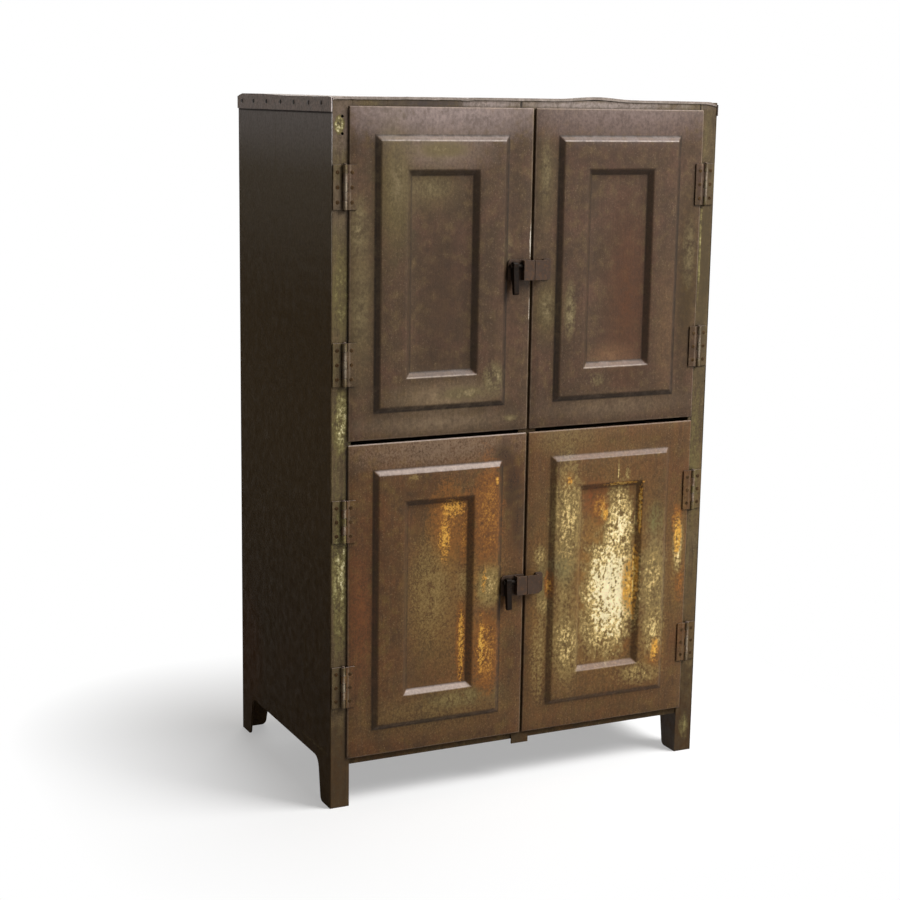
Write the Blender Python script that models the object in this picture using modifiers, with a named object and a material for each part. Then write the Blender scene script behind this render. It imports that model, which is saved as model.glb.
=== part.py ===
# Painted steel cabinet with four pressed doors, butt hinges and sliding bolt latches.
# Metres, +Z up, +Y towards the back. The origin is the middle of the footprint, on the floor.

import bpy
import bmesh
from math import atan2, cos, pi, sin, sqrt, tan
from mathutils import Vector

# Carcass sizes
CABINET_HEIGHT = 1.500
PANEL_WIDTH = 0.914
CABINET_DEPTH = 0.560
SHEET = 0.0015
SEAT = 0.0003

# Posts, feet and the arch between the feet
POST_FACE = 0.042
POST_DEPTH = 0.072
POST_METAL = 0.002
FOOT_FLOOR = 0.055
FOOT_TOP = 0.070
FOOT_ROUND = 0.012
ARCH_HEIGHT = 0.094
ARCH_ROUND = 0.024
POST_HOLE_RADIUS = 0.003
POST_HOLE_SPACING = 0.034
POST_HOLE_DROP = 0.039

# Top panel
TOP_FLANGE = 0.030
TOP_HEM = 0.005
TOP_RELIEF = 0.004

# Rails, mullion, trays and cleats
RAIL_HEIGHT = 0.024
TOP_RAIL_HEIGHT = 0.030
RAIL_DEPTH = 0.025
RAIL_METAL = 0.002
MIDDLE_RAIL_DROP = 0.0065
MULLION_WIDTH = 0.042
MULLION_METAL = 0.003
MULLION_TAB = 0.011
TRAY_LIP = 0.020
SHELF_SETBACK = 0.006
CLEAT_FLANGE = 0.022
CLEAT_END_CLEAR = 0.016

# Doors
DOOR_TOP_DROP = 0.018
DOOR_BOTTOM = 0.109
DOOR_GAP = 0.008
MEETING_GAP = 0.0055
DOOR_OVERLAP = 0.0073
DOOR_PROUD = 0.005
DOOR_STOP_CLEAR = 0.0006
FIELD_MARGIN = 0.057
FIELD_BEVEL = 0.011
FIELD_RAISE = 0.008
SUNK_MARGIN = 0.059
SUNK_BEVEL = 0.011
SUNK_DEPTH = 0.010
FOLD_ROUND = 0.0016
BACKING_WIDTH = 0.036
BACKING_METAL = 0.0025
BACKING_ROUND = 0.004

# Hinges
HINGE_HEIGHT = 0.090
HINGE_INSET = 0.161
HINGE_OFFSET = 0.0095
BARREL_RADIUS = 0.005
LEAF_METAL = 0.0025
FRAME_LEAF_REACH = 0.0245
DOOR_LEAF_REACH = 0.026
KNUCKLES = 5
KNUCKLE_GAP = 0.0006
KNUCKLE_CLEAR = 0.0008
PIN_RADIUS = 0.002
PIN_HEAD_RADIUS = 0.0034
PIN_HEAD_HEIGHT = 0.0022
PIN_HEAD_CHAMFER = 0.0008

# Latches
LATCH_RISE = 0.0035
LATCH_HEIGHT = 0.045
LATCH_METAL = 0.003
LATCH_PLATE_LENGTH = 0.054
LATCH_EDGE_CLEAR = 0.00125
LATCH_ROUND = 0.006
BRIDGE_LENGTH = 0.025
BRIDGE_HEIGHT = 0.042
BRIDGE_OVERHANG = 0.00125
BRIDGE_CLEAR = 0.001
KEEPER_SLIT = 0.0012
KEEPER_LENGTH = 0.028
KEEPER_FOOT = 0.0165
BOLT_RISE = 0.009
BOLT_RADIUS = 0.0045
BOLT_LENGTH = 0.0525
BOLT_CHAMFER = 0.001
BOLT_TRAVEL = 0.013
TRAVEL_CLEAR = 0.001
LEVER_WIDTH = 0.011
LEVER_BACK_CLEAR = 0.0008
LEVER_HUB = 0.0135
LEVER_RISE = 0.0085
LEVER_DROP = 0.060
LEVER_TIP = 0.0095
LEVER_REACH = 0.0135
LEVER_ROUND = 0.004
LEVER_BEND = 0.016

# Facet counts and small working allowances
ARC_STEPS = 5
BARREL_STEPS = 12
TURN_STEPS = 12
WELD = 0.00001
TRIM = 0.010

# Places worked out from the sizes above, with y measured from the front faces of the posts
panel_outside = PANEL_WIDTH / 2
panel_inside = panel_outside - SHEET
post_outside = panel_inside - SEAT
post_inside = post_outside - POST_FACE
sheet_underside = CABINET_HEIGHT - SHEET
upright_top = sheet_underside - SEAT
back_inside = CABINET_DEPTH - SHEET
rear_post_back = back_inside - SEAT
rear_post_front = rear_post_back - POST_DEPTH
tray_back = rear_post_back - POST_METAL - SEAT
tray_outside = post_outside - POST_METAL - SEAT
tongue_outside = post_inside - SEAT
rail_front = MULLION_METAL + SEAT
tray_front = rail_front + RAIL_METAL + SEAT
cleat_front = POST_DEPTH + CLEAT_END_CLEAR
cleat_back = rear_post_front - CLEAT_END_CLEAR

door_top = CABINET_HEIGHT - DOOR_TOP_DROP
door_height = (door_top - DOOR_BOTTOM - DOOR_GAP) / 2
door_outer_edge = post_inside + DOOR_OVERLAP
door_inner_edge = MEETING_GAP / 2
door_width = door_outer_edge - door_inner_edge
door_base = {"lower": DOOR_BOTTOM, "upper": door_top - door_height}
door_face = -DOOR_PROUD
door_lip = DOOR_PROUD - DOOR_STOP_CLEAR
backing_front = door_face + SHEET + SEAT

hinge_x = door_outer_edge + HINGE_OFFSET
hinge_y = -(SEAT + BARREL_RADIUS)
hinge_levels = {"bottom": HINGE_INSET, "top": door_height - HINGE_INSET}
knuckle_pitch = HINGE_HEIGHT / KNUCKLES
bore_radius = PIN_RADIUS + SEAT

plate_back = door_face - SEAT
plate_front = plate_back - LATCH_METAL
bolt_y = plate_front - BRIDGE_CLEAR - BOLT_RADIUS
bridge_back = bolt_y - BOLT_RADIUS - BRIDGE_CLEAR
bridge_front = bridge_back - LATCH_METAL
bridge_root = (plate_back + plate_front) / 2
plate_right = -door_inner_edge - LATCH_EDGE_CLEAR
plate_left = plate_right - LATCH_PLATE_LENGTH
bridge_right = -door_inner_edge + BRIDGE_OVERHANG
bridge_left = bridge_right - BRIDGE_LENGTH
keeper_left = bridge_right + KEEPER_SLIT
keeper_right = keeper_left + KEEPER_LENGTH
bolt_centre = plate_right - BOLT_LENGTH / 2
lever_x = bridge_left - BOLT_TRAVEL - TRAVEL_CLEAR - LEVER_WIDTH / 2
latch_level = door_height / 2 + LATCH_RISE

front_reach = LEVER_REACH - bolt_y
back_reach = CABINET_DEPTH + SEAT + SHEET
front_y = (front_reach - back_reach) / 2

middle_shelf_level = door_base["upper"] - DOOR_GAP - MIDDLE_RAIL_DROP
bottom_level = ARCH_HEIGHT + RAIL_METAL + SEAT + TRAY_LIP
shelf_level = {"lower": DOOR_BOTTOM + door_height / 2, "upper": door_base["upper"] + door_height / 2}

TURNS = {"X": (pi / 2, 0, pi / 2), "Y": (pi / 2, 0, 0), "Z": (0, 0, 0)}
SIDES = {"left": -1, "right": 1}


def clear_scene():
    for item in list(bpy.data.objects):
        bpy.data.objects.remove(item, do_unlink=True)


def new_collection(name):
    collection = bpy.data.collections.new(name)
    bpy.context.scene.collection.children.link(collection)
    return collection


def paint(name, colour, roughness, metallic):
    material = bpy.data.materials.new(name)
    material.use_nodes = True
    shader = material.node_tree.nodes["Principled BSDF"]
    shader.inputs["Base Color"].default_value = (*colour, 1)
    shader.inputs["Roughness"].default_value = roughness
    shader.inputs["Metallic"].default_value = metallic
    return material


def add_part(name, mesh, material, parent, location=(0, 0, 0), turn="Z"):
    part = bpy.data.objects.new(name, mesh)
    parts.objects.link(part)
    if not mesh.materials:
        mesh.materials.append(material)
    part.parent = parent
    part.location = location
    part.rotation_euler = TURNS[turn]
    return part


def add_cutter(name, mesh, parent, location=(0, 0, 0), turn="Z"):
    cutter = bpy.data.objects.new(name, mesh)
    cutters.objects.link(cutter)
    cutter.hide_render = True
    cutter.display_type = "WIRE"
    cutter.parent = parent
    cutter.location = location
    cutter.rotation_euler = TURNS[turn]
    return cutter


def add_axis(name, parent, location):
    axis = bpy.data.objects.new(name, None)
    parts.objects.link(axis)
    axis.empty_display_size = HINGE_HEIGHT
    axis.parent = parent
    axis.location = location
    return axis


def boolean(part, cutter, operation):
    cut = part.modifiers.new(cutter.name, "BOOLEAN")
    cut.operation = operation
    cut.object = cutter


def weld(mesh):
    shape = bmesh.new()
    shape.from_mesh(mesh)
    bmesh.ops.remove_doubles(shape, verts=shape.verts, dist=WELD)
    bmesh.ops.recalc_face_normals(shape, faces=shape.faces)
    shape.to_mesh(mesh)
    shape.free()


def settled_mesh(source):
    bpy.context.view_layer.update()
    graph = bpy.context.evaluated_depsgraph_get()
    mesh = bpy.data.meshes.new_from_object(source.evaluated_get(graph))
    weld(mesh)
    return mesh


def rounded(corners):
    points = []
    for index, (u, v, radius) in enumerate(corners):
        here = Vector((u, v))
        if radius == 0:
            points.append((u, v))
            continue
        before = (Vector(corners[index - 1][:2]) - here).normalized()
        after = (Vector(corners[(index + 1) % len(corners)][:2]) - here).normalized()
        half = before.angle(after) / 2
        centre = here + (before + after).normalized() * (radius / sin(half))
        start = here + before * (radius / tan(half)) - centre
        end = here + after * (radius / tan(half)) - centre
        first = atan2(start.y, start.x)
        sweep = (atan2(end.y, end.x) - first + pi) % (2 * pi) - pi
        for step in range(ARC_STEPS + 1):
            angle = first + sweep * step / ARC_STEPS
            points.append((centre.x + radius * cos(angle), centre.y + radius * sin(angle)))
    return points


def circle(radius, centre=(0, 0), steps=TURN_STEPS):
    angles = [2 * pi * step / steps for step in range(steps)]
    return [(centre[0] + radius * cos(a), centre[1] + radius * sin(a)) for a in angles]


def plate(name, loops, thickness):
    curve = bpy.data.curves.new(name, "CURVE")
    curve.dimensions = "2D"
    curve.fill_mode = "BOTH"
    curve.extrude = thickness / 2
    for loop in loops:
        spline = curve.splines.new("POLY")
        spline.points.add(len(loop) - 1)
        for point, (u, v) in zip(spline.points, loop):
            point.co = (u, v, 0, 1)
        spline.use_cyclic_u = True
    source = bpy.data.objects.new(name, curve)
    bpy.context.scene.collection.objects.link(source)
    mesh = settled_mesh(source)
    bpy.data.objects.remove(source)
    return mesh


def turned(name, profile):
    wire = bpy.data.meshes.new(name)
    shape = bmesh.new()
    ring = [shape.verts.new((radius, 0, level)) for radius, level in profile]
    for upper, lower in zip(ring, ring[1:]):
        shape.edges.new((upper, lower))
    shape.to_mesh(wire)
    shape.free()
    source = bpy.data.objects.new(name, wire)
    bpy.context.scene.collection.objects.link(source)
    screw = source.modifiers.new("Screw", "SCREW")
    screw.steps = TURN_STEPS
    screw.render_steps = TURN_STEPS
    screw.use_merge_vertices = True
    screw.merge_threshold = WELD
    mesh = settled_mesh(source)
    bpy.data.objects.remove(source)
    mesh.shade_smooth()
    mesh.set_sharp_from_angle(angle=pi / 6)
    return mesh


def block(name, size):
    mesh = bpy.data.meshes.new(name)
    shape = bmesh.new()
    bmesh.ops.create_cube(shape, size=1)
    bmesh.ops.scale(shape, vec=size, verts=shape.verts)
    shape.to_mesh(mesh)
    shape.free()
    return mesh


def sheet_thickness(part, metal):
    wall = part.modifiers.new("Sheet", "SOLIDIFY")
    wall.thickness = metal
    wall.offset = -1
    wall.solidify_mode = "NON_MANIFOLD"
    wall.nonmanifold_thickness_mode = "CONSTRAINTS"


def flat_sheet(outline):
    shape = bmesh.new()
    shape.faces.new([shape.verts.new((x, y, 0)) for x, y in outline])
    return shape


def fold_down(shape, edges, depth):
    folded = bmesh.ops.extrude_edge_only(shape, edges=edges)["geom"]
    low = [item for item in folded if isinstance(item, bmesh.types.BMVert)]
    bmesh.ops.translate(shape, verts=low, vec=(0, 0, -depth))
    return [item for item in folded if isinstance(item, bmesh.types.BMEdge) and item.is_boundary]


def face_upwards(shape):
    bmesh.ops.recalc_face_normals(shape, faces=shape.faces)
    shape.normal_update()
    broadest = max(shape.faces, key=lambda face: abs(face.normal.z) * face.calc_area())
    if broadest.normal.z < 0:
        bmesh.ops.reverse_faces(shape, faces=shape.faces)


def sheet_part(name, shape, material, parent, location):
    face_upwards(shape)
    mesh = bpy.data.meshes.new(name)
    shape.to_mesh(mesh)
    shape.free()
    part = add_part(name, mesh, material, parent, location)
    sheet_thickness(part, SHEET)
    return part


def rectangle(left, right, front, back):
    return [(left, front), (right, front), (right, back), (left, back)]


def footed_outline(length, height, margin=0):
    return rounded([
        (-margin, 0, 0),
        (FOOT_FLOOR, 0, FOOT_ROUND),
        (FOOT_TOP, ARCH_HEIGHT, ARCH_ROUND),
        (length - FOOT_TOP, ARCH_HEIGHT, ARCH_ROUND),
        (length - FOOT_FLOOR, 0, FOOT_ROUND),
        (length + margin, 0, 0),
        (length + margin, height, 0),
        (-margin, height, 0),
    ])


def angle_section(depth, height, metal, flange_at_top):
    if flange_at_top:
        underside = height - metal
        return [(0, 0), (metal, 0), (metal, underside), (depth, underside), (depth, height), (0, height)]
    return [(0, 0), (depth, 0), (depth, metal), (metal, metal), (metal, height), (0, height)]


# Posts: folded box sections in front, folded angles behind, all trimmed to the tapered foot
def add_posts():
    tall = upright_top + TRIM
    middle = (upright_top - TRIM) / 2
    stencil = plate("side_stencil", [footed_outline(CABINET_DEPTH, tall, TRIM)], PANEL_WIDTH)
    side_stencil = add_cutter("side_stencil", stencil, origin, turn="X")
    stencil = plate("back_stencil", [footed_outline(2 * post_outside, tall, TRIM)], CABINET_DEPTH)
    back_stencil = add_cutter("back_stencil", stencil, origin, (-post_outside, CABINET_DEPTH, 0), "Y")
    hollow_outside = post_outside - POST_METAL
    hollow_inside = post_inside + POST_METAL
    outer = rectangle(post_inside, post_outside, 0, POST_DEPTH)
    inner = rectangle(hollow_inside, hollow_outside, POST_METAL, POST_DEPTH - POST_METAL)
    for side, sign in SIDES.items():
        name = f"front_{side}_post"
        section = [[(sign * x, y) for x, y in loop] for loop in (outer, inner)]
        post = add_part(name, plate(name, section, tall), frame_paint, origin, (0, 0, middle))
        boolean(post, side_stencil, "INTERSECT")
        if side == "left":
            add_post_holes(post)
        corner_inside = post_outside - POST_DEPTH
        angle = [
            (post_outside, rear_post_front),
            (post_outside, rear_post_back),
            (corner_inside, rear_post_back),
            (corner_inside, rear_post_back - POST_METAL),
            (hollow_outside, rear_post_back - POST_METAL),
            (hollow_outside, rear_post_front),
        ]
        name = f"rear_{side}_post"
        section = [(sign * x, y) for x, y in angle]
        post = add_part(name, plate(name, [section], tall), frame_paint, origin, (0, 0, middle))
        boolean(post, side_stencil, "INTERSECT")
        boolean(post, back_stencil, "INTERSECT")


# Two drilled holes near the top of the left post's face
def add_post_holes(post):
    hole_x = -(post_outside + post_inside) / 2
    for number in range(2):
        level = CABINET_HEIGHT - POST_HOLE_DROP - number * POST_HOLE_SPACING
        drill = plate(f"post_drill_{number}", [circle(POST_HOLE_RADIUS)], TRIM)
        cutter = add_cutter(drill.name, drill, origin, (hole_x, 0, level), "Y")
        boolean(post, cutter, "DIFFERENCE")


# Side and back panels: flat sheets with an arched lower edge
def add_panels():
    side_outline = footed_outline(CABINET_DEPTH, upright_top)
    for side, sign in SIDES.items():
        name = f"{side}_side_panel"
        place = (sign * (panel_outside + panel_inside) / 2, 0, 0)
        add_part(name, plate(name, [side_outline], SHEET), side_paint, origin, place, "X")
    back_outline = footed_outline(2 * post_outside, upright_top)
    place = (-post_outside, back_inside + SHEET / 2, 0)
    add_part("back_panel", plate("back_panel", [back_outline], SHEET), side_paint, origin, place, "Y")


# Top panel: a hem in front, deeper flanges over the side and back panels, relief slits between
def add_top_panel():
    outside = panel_outside + SEAT + SHEET
    front = -SEAT - SHEET
    hem_end = outside - TOP_RELIEF
    outline = [(-hem_end, front), (hem_end, front)] + rectangle(-outside, outside, front, back_reach)[1:]
    shape = flat_sheet(outline + [(-outside, front)])
    edges = list(shape.edges)
    reach = {edge: max(abs(vert.co.x) for vert in edge.verts) for edge in edges}
    depth = {edge: max(vert.co.y for vert in edge.verts) for edge in edges}
    fold_down(shape, [edge for edge in edges if reach[edge] < outside - WELD], TOP_HEM)
    fold_down(shape, [edge for edge in edges if depth[edge] > 0], TOP_FLANGE)
    sheet_part("top_panel", shape, frame_paint, origin, (0, 0, CABINET_HEIGHT))


# Rails between the front posts, the top one flush with them, and the bar down the middle
def add_rails():
    top_level = upright_top - TOP_RAIL_HEIGHT
    middle_level = middle_shelf_level - TRAY_LIP - SEAT - RAIL_METAL
    rails = {
        "top_rail": (0, top_level, TOP_RAIL_HEIGHT, True),
        "middle_rail": (rail_front, middle_level, RAIL_HEIGHT, False),
        "bottom_rail": (rail_front, ARCH_HEIGHT, RAIL_HEIGHT, False),
    }
    for name, (front, level, height, flange_at_top) in rails.items():
        section = angle_section(RAIL_DEPTH, height, RAIL_METAL, flange_at_top)
        rail = plate(name, [section], 2 * tongue_outside)
        add_part(name, rail, frame_paint, origin, (0, front, level), "X")
    foot = ARCH_HEIGHT - MULLION_TAB
    head = top_level - SEAT
    bar = block("centre_mullion", (MULLION_WIDTH, MULLION_METAL, head - foot))
    place = (0, MULLION_METAL / 2, (head + foot) / 2)
    add_part("centre_mullion", bar, frame_paint, origin, place)


# Trays: the bottom and middle ones reach forward between the posts
def add_trays():
    shoulder = POST_DEPTH + SEAT
    reaching = [
        (-tongue_outside, tray_front),
        (tongue_outside, tray_front),
        (tongue_outside, shoulder),
        (tray_outside, shoulder),
        (tray_outside, tray_back),
        (-tray_outside, tray_back),
        (-tray_outside, shoulder),
        (-tongue_outside, shoulder),
    ]
    for name, level in {"bottom_panel": bottom_level, "middle_shelf": middle_shelf_level}.items():
        shape = flat_sheet(reaching)
        fold_down(shape, list(shape.edges), TRAY_LIP)
        sheet_part(name, shape, inner_paint, origin, (0, 0, level))
    for tier, level in shelf_level.items():
        shape = flat_sheet(rectangle(-tray_outside, tray_outside, shoulder + SHELF_SETBACK, tray_back))
        fold_down(shape, list(shape.edges), TRAY_LIP)
        sheet_part(f"{tier}_shelf", shape, inner_paint, origin, (0, 0, level))
        add_cleats(tier, level - TRAY_LIP - SEAT)


# Angles on the side panels that carry a loose shelf
def add_cleats(tier, level):
    length = cleat_back - cleat_front
    for side, sign in SIDES.items():
        name = f"{tier}_{side}_cleat"
        section = angle_section(CLEAT_FLANGE, CLEAT_FLANGE, RAIL_METAL, True)
        section = [(-sign * u, v) for u, v in section]
        place = (sign * post_outside, (cleat_front + cleat_back) / 2, level - CLEAT_FLANGE)
        add_part(name, plate(name, [section], length), frame_paint, origin, place, "Y")


# Door skin: folded lip, flat border, raised field and sunk centre, pressed from one sheet
def pressed_skin(name):
    shape = bmesh.new()
    bmesh.ops.create_grid(shape, x_segments=1, y_segments=1, size=0.5)
    bmesh.ops.scale(shape, vec=(door_width, door_height, 1), verts=shape.verts)
    centre = list(shape.faces)
    fold_down(shape, list(shape.edges), door_lip)
    for thickness, depth in (
        (FIELD_MARGIN, 0),
        (FIELD_BEVEL, FIELD_RAISE),
        (SUNK_MARGIN, 0),
        (SUNK_BEVEL, -SUNK_DEPTH),
    ):
        bmesh.ops.inset_region(shape, faces=centre, thickness=thickness, depth=depth, use_even_offset=True)
    face_upwards(shape)
    mesh = bpy.data.meshes.new(name)
    shape.to_mesh(mesh)
    shape.free()
    return mesh


def backing_ring(name):
    edge = SHEET + FOLD_ROUND
    loops = []
    for inset, radius in ((edge, BACKING_ROUND), (edge + BACKING_WIDTH, 0)):
        half_width = door_width / 2 - inset
        half_height = door_height / 2 - inset
        loops.append(rounded([
            (-half_width, -half_height, radius),
            (half_width, -half_height, radius),
            (half_width, half_height, radius),
            (-half_width, half_height, radius),
        ]))
    return plate(name, loops, BACKING_METAL)


# Hinge leaf: a plate rolled into a barrel, with the other leaf's knuckles notched out
def hinge_leaf(name, toward, back, reach, notches):
    front = back - LEAF_METAL
    first = atan2(front, sqrt(BARREL_RADIUS ** 2 - front ** 2))
    last = atan2(back, sqrt(BARREL_RADIUS ** 2 - back ** 2)) - 2 * pi
    angles = [first + (last - first) * step / BARREL_STEPS for step in range(BARREL_STEPS + 1)]
    outline = [(reach, back), (reach, front)]
    outline += [(BARREL_RADIUS * cos(a), BARREL_RADIUS * sin(a)) for a in angles]
    outline = [(toward * u, v) for u, v in outline]
    bore = circle(bore_radius)
    leaf = bpy.data.objects.new(name, plate(name, [outline, bore], HINGE_HEIGHT))
    bpy.context.scene.collection.objects.link(leaf)
    clear = 2 * (BARREL_RADIUS + KNUCKLE_CLEAR)
    gaps = []
    for number in notches:
        level = (number + 0.5) * knuckle_pitch - HINGE_HEIGHT / 2
        mesh = block("knuckle_gap", (clear, clear, knuckle_pitch + KNUCKLE_GAP))
        gap = add_cutter(f"{name}_gap_{number}", mesh, None, (0, 0, level))
        boolean(leaf, gap, "DIFFERENCE")
        gaps.append(gap)
    mesh = settled_mesh(leaf)
    for spare in [leaf, *gaps]:
        bpy.data.objects.remove(spare)
    return mesh


def hinge_pin(name):
    seat = HINGE_HEIGHT / 2 + SEAT
    end = seat + PIN_HEAD_HEIGHT
    half = [
        (0, end),
        (PIN_HEAD_RADIUS - PIN_HEAD_CHAMFER, end),
        (PIN_HEAD_RADIUS, end - PIN_HEAD_CHAMFER),
        (PIN_HEAD_RADIUS, seat),
        (PIN_RADIUS, seat),
    ]
    return turned(name, half + [(radius, -level) for radius, level in reversed(half)])


# Doors: skin and backing frame on the hinge axis, with two butt hinges each
def add_doors():
    axes = {}
    skin = pressed_skin("door_skin")
    ring = backing_ring("door_backing")
    pin = hinge_pin("hinge_pin")
    frame_knuckles = range(0, KNUCKLES, 2)
    door_knuckles = range(1, KNUCKLES, 2)
    for side, sign in SIDES.items():
        leaf_back = door_face - SEAT - hinge_y
        frame_leaf = hinge_leaf("frame_leaf", sign, BARREL_RADIUS, FRAME_LEAF_REACH, door_knuckles)
        door_leaf = hinge_leaf("door_leaf", -sign, leaf_back, DOOR_LEAF_REACH, frame_knuckles)
        for tier, base in door_base.items():
            door = f"{tier}_{side}"
            axis = add_axis(f"{door}_door_axis", origin, (sign * hinge_x, hinge_y, base))
            middle = sign * (door_outer_edge - door_width / 2 - hinge_x)
            place = (middle, door_face - hinge_y, door_height / 2)
            panel = add_part(f"{door}_door_skin", skin, door_paint, axis, place, "Y")
            crease = panel.modifiers.new("Crease", "BEVEL")
            crease.width = FOLD_ROUND
            crease.segments = 1
            crease.limit_method = "ANGLE"
            sheet_thickness(panel, SHEET)
            place = (middle, backing_front + BACKING_METAL / 2 - hinge_y, door_height / 2)
            add_part(f"{door}_door_backing", ring, inner_paint, axis, place, "Y")
            for end, level in hinge_levels.items():
                hinge = f"{door}_{end}"
                fixed = (sign * hinge_x, hinge_y, base + level)
                add_part(f"{hinge}_frame_leaf", frame_leaf, hinge_steel, origin, fixed)
                add_part(f"{hinge}_hinge_pin", pin, hinge_steel, origin, fixed)
                add_part(f"{hinge}_door_leaf", door_leaf, hinge_steel, axis, (0, 0, level))
            axes[door] = axis
    return axes


# Latch: base plate with a bridge over the bolt, the bolt, its lever, and the keeper opposite
def bridged_plate(name, base, bridge, hinge_line):
    bracket = bpy.data.objects.new(name, plate(name, [bridge], BRIDGE_HEIGHT))
    bpy.context.scene.collection.objects.link(bracket)
    bracket.location = (-hinge_line, -hinge_y, 0)
    place = (-hinge_line, bridge_root - hinge_y, 0)
    flat = add_cutter(f"{name}_base", plate(f"{name}_base", [base], LATCH_METAL), None, place, "Y")
    boolean(bracket, flat, "UNION")
    mesh = settled_mesh(bracket)
    mesh.transform(bracket.matrix_world)
    for spare in (bracket, flat):
        bpy.data.objects.remove(spare)
    return mesh


def latch_plate(name):
    half = LATCH_HEIGHT / 2
    base = rounded([
        (plate_left, -half, LATCH_ROUND),
        (plate_right, -half, 0),
        (plate_right, half, 0),
        (plate_left, half, LATCH_ROUND),
    ])
    riser = bridge_left + LATCH_METAL
    bridge = [
        (bridge_left, bridge_root),
        (riser, bridge_root),
        (riser, bridge_back),
        (bridge_right, bridge_back),
        (bridge_right, bridge_front),
        (bridge_left, bridge_front),
    ]
    return bridged_plate(name, base, bridge, -hinge_x)


def latch_keeper(name):
    half = LATCH_HEIGHT / 2
    riser = keeper_right - LATCH_METAL
    base = rounded([
        (keeper_right - LATCH_METAL / 2, -half, 0),
        (keeper_right + KEEPER_FOOT, -half, LATCH_ROUND),
        (keeper_right + KEEPER_FOOT, half, LATCH_ROUND),
        (keeper_right - LATCH_METAL / 2, half, 0),
    ])
    bridge = [
        (keeper_right, bridge_root),
        (riser, bridge_root),
        (riser, bridge_back),
        (keeper_left, bridge_back),
        (keeper_left, bridge_front),
        (keeper_right, bridge_front),
    ]
    return bridged_plate(name, base, bridge, hinge_x)


def latch_lever(name):
    back = plate_front - LEVER_BACK_CLEAR - bolt_y
    face = back - LEVER_HUB
    outline = rounded([
        (back, LEVER_RISE, LEVER_ROUND),
        (back, -LEVER_RISE, LEVER_BEND),
        (LEVER_TIP - LEVER_REACH, -LEVER_DROP, LEVER_ROUND),
        (-LEVER_REACH, -LEVER_DROP, LEVER_ROUND),
        (face, -LEVER_RISE, LEVER_BEND),
        (face, LEVER_RISE, LEVER_ROUND),
    ])
    return plate(name, [outline, circle(BOLT_RADIUS + SEAT)], LEVER_WIDTH)


def bolt_rod(name):
    end = BOLT_LENGTH / 2
    half = [(0, end), (BOLT_RADIUS - BOLT_CHAMFER, end), (BOLT_RADIUS, end - BOLT_CHAMFER)]
    return turned(name, half + [(radius, -level) for radius, level in reversed(half)])


def add_latches(axes):
    rod = bolt_rod("latch_bolt")
    lever = latch_lever("latch_lever")
    on_left = latch_plate("latch_plate")
    on_right = latch_keeper("latch_keeper")
    drill = plate("bolt_drill", [circle(BOLT_RADIUS + SEAT)], TRIM)
    for tier in door_base:
        left_axis = axes[f"{tier}_left"]
        right_axis = axes[f"{tier}_right"]
        bracket = add_part(f"{tier}_latch_plate", on_left, latch_steel, left_axis, (0, 0, latch_level))
        line = Vector((hinge_x, bolt_y - hinge_y, latch_level + BOLT_RISE))
        hole = line + Vector((bridge_left + LATCH_METAL / 2, 0, 0))
        cutter = add_cutter(f"{tier}_bolt_drill", drill, left_axis, hole, "X")
        boolean(bracket, cutter, "DIFFERENCE")
        slide = add_axis(f"{tier}_bolt_axis", left_axis, line + Vector((bolt_centre, 0, 0)))
        bolt = add_part(f"{tier}_latch_bolt", rod, latch_steel, slide)
        bolt.rotation_euler = (0, pi / 2, 0)
        add_part(f"{tier}_latch_lever", lever, latch_steel, slide, (lever_x - bolt_centre, 0, 0), "X")
        add_part(f"{tier}_latch_keeper", on_right, latch_steel, right_axis, (0, 0, latch_level))


clear_scene()
parts = new_collection("metal_cabinet")
cutters = new_collection("cutters")
frame_paint = paint("frame_paint", (0.15, 0.115, 0.06), 0.6, 0.0)
side_paint = paint("side_paint", (0.06, 0.048, 0.03), 0.6, 0.0)
inner_paint = paint("inner_paint", (0.10, 0.075, 0.045), 0.7, 0.0)
door_paint = paint("door_paint", (0.14, 0.09, 0.045), 0.55, 0.0)
hinge_steel = paint("hinge_steel", (0.11, 0.08, 0.05), 0.55, 0.6)
latch_steel = paint("latch_steel", (0.09, 0.075, 0.055), 0.5, 0.7)
origin = add_axis("cabinet_origin", None, (0, front_y, 0))

add_posts()
add_panels()
add_top_panel()
add_rails()
add_trays()
door_axes = add_doors()
add_latches(door_axes)
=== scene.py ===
import bpy
import bmesh
import math
from mathutils import Matrix, Vector, noise


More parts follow.
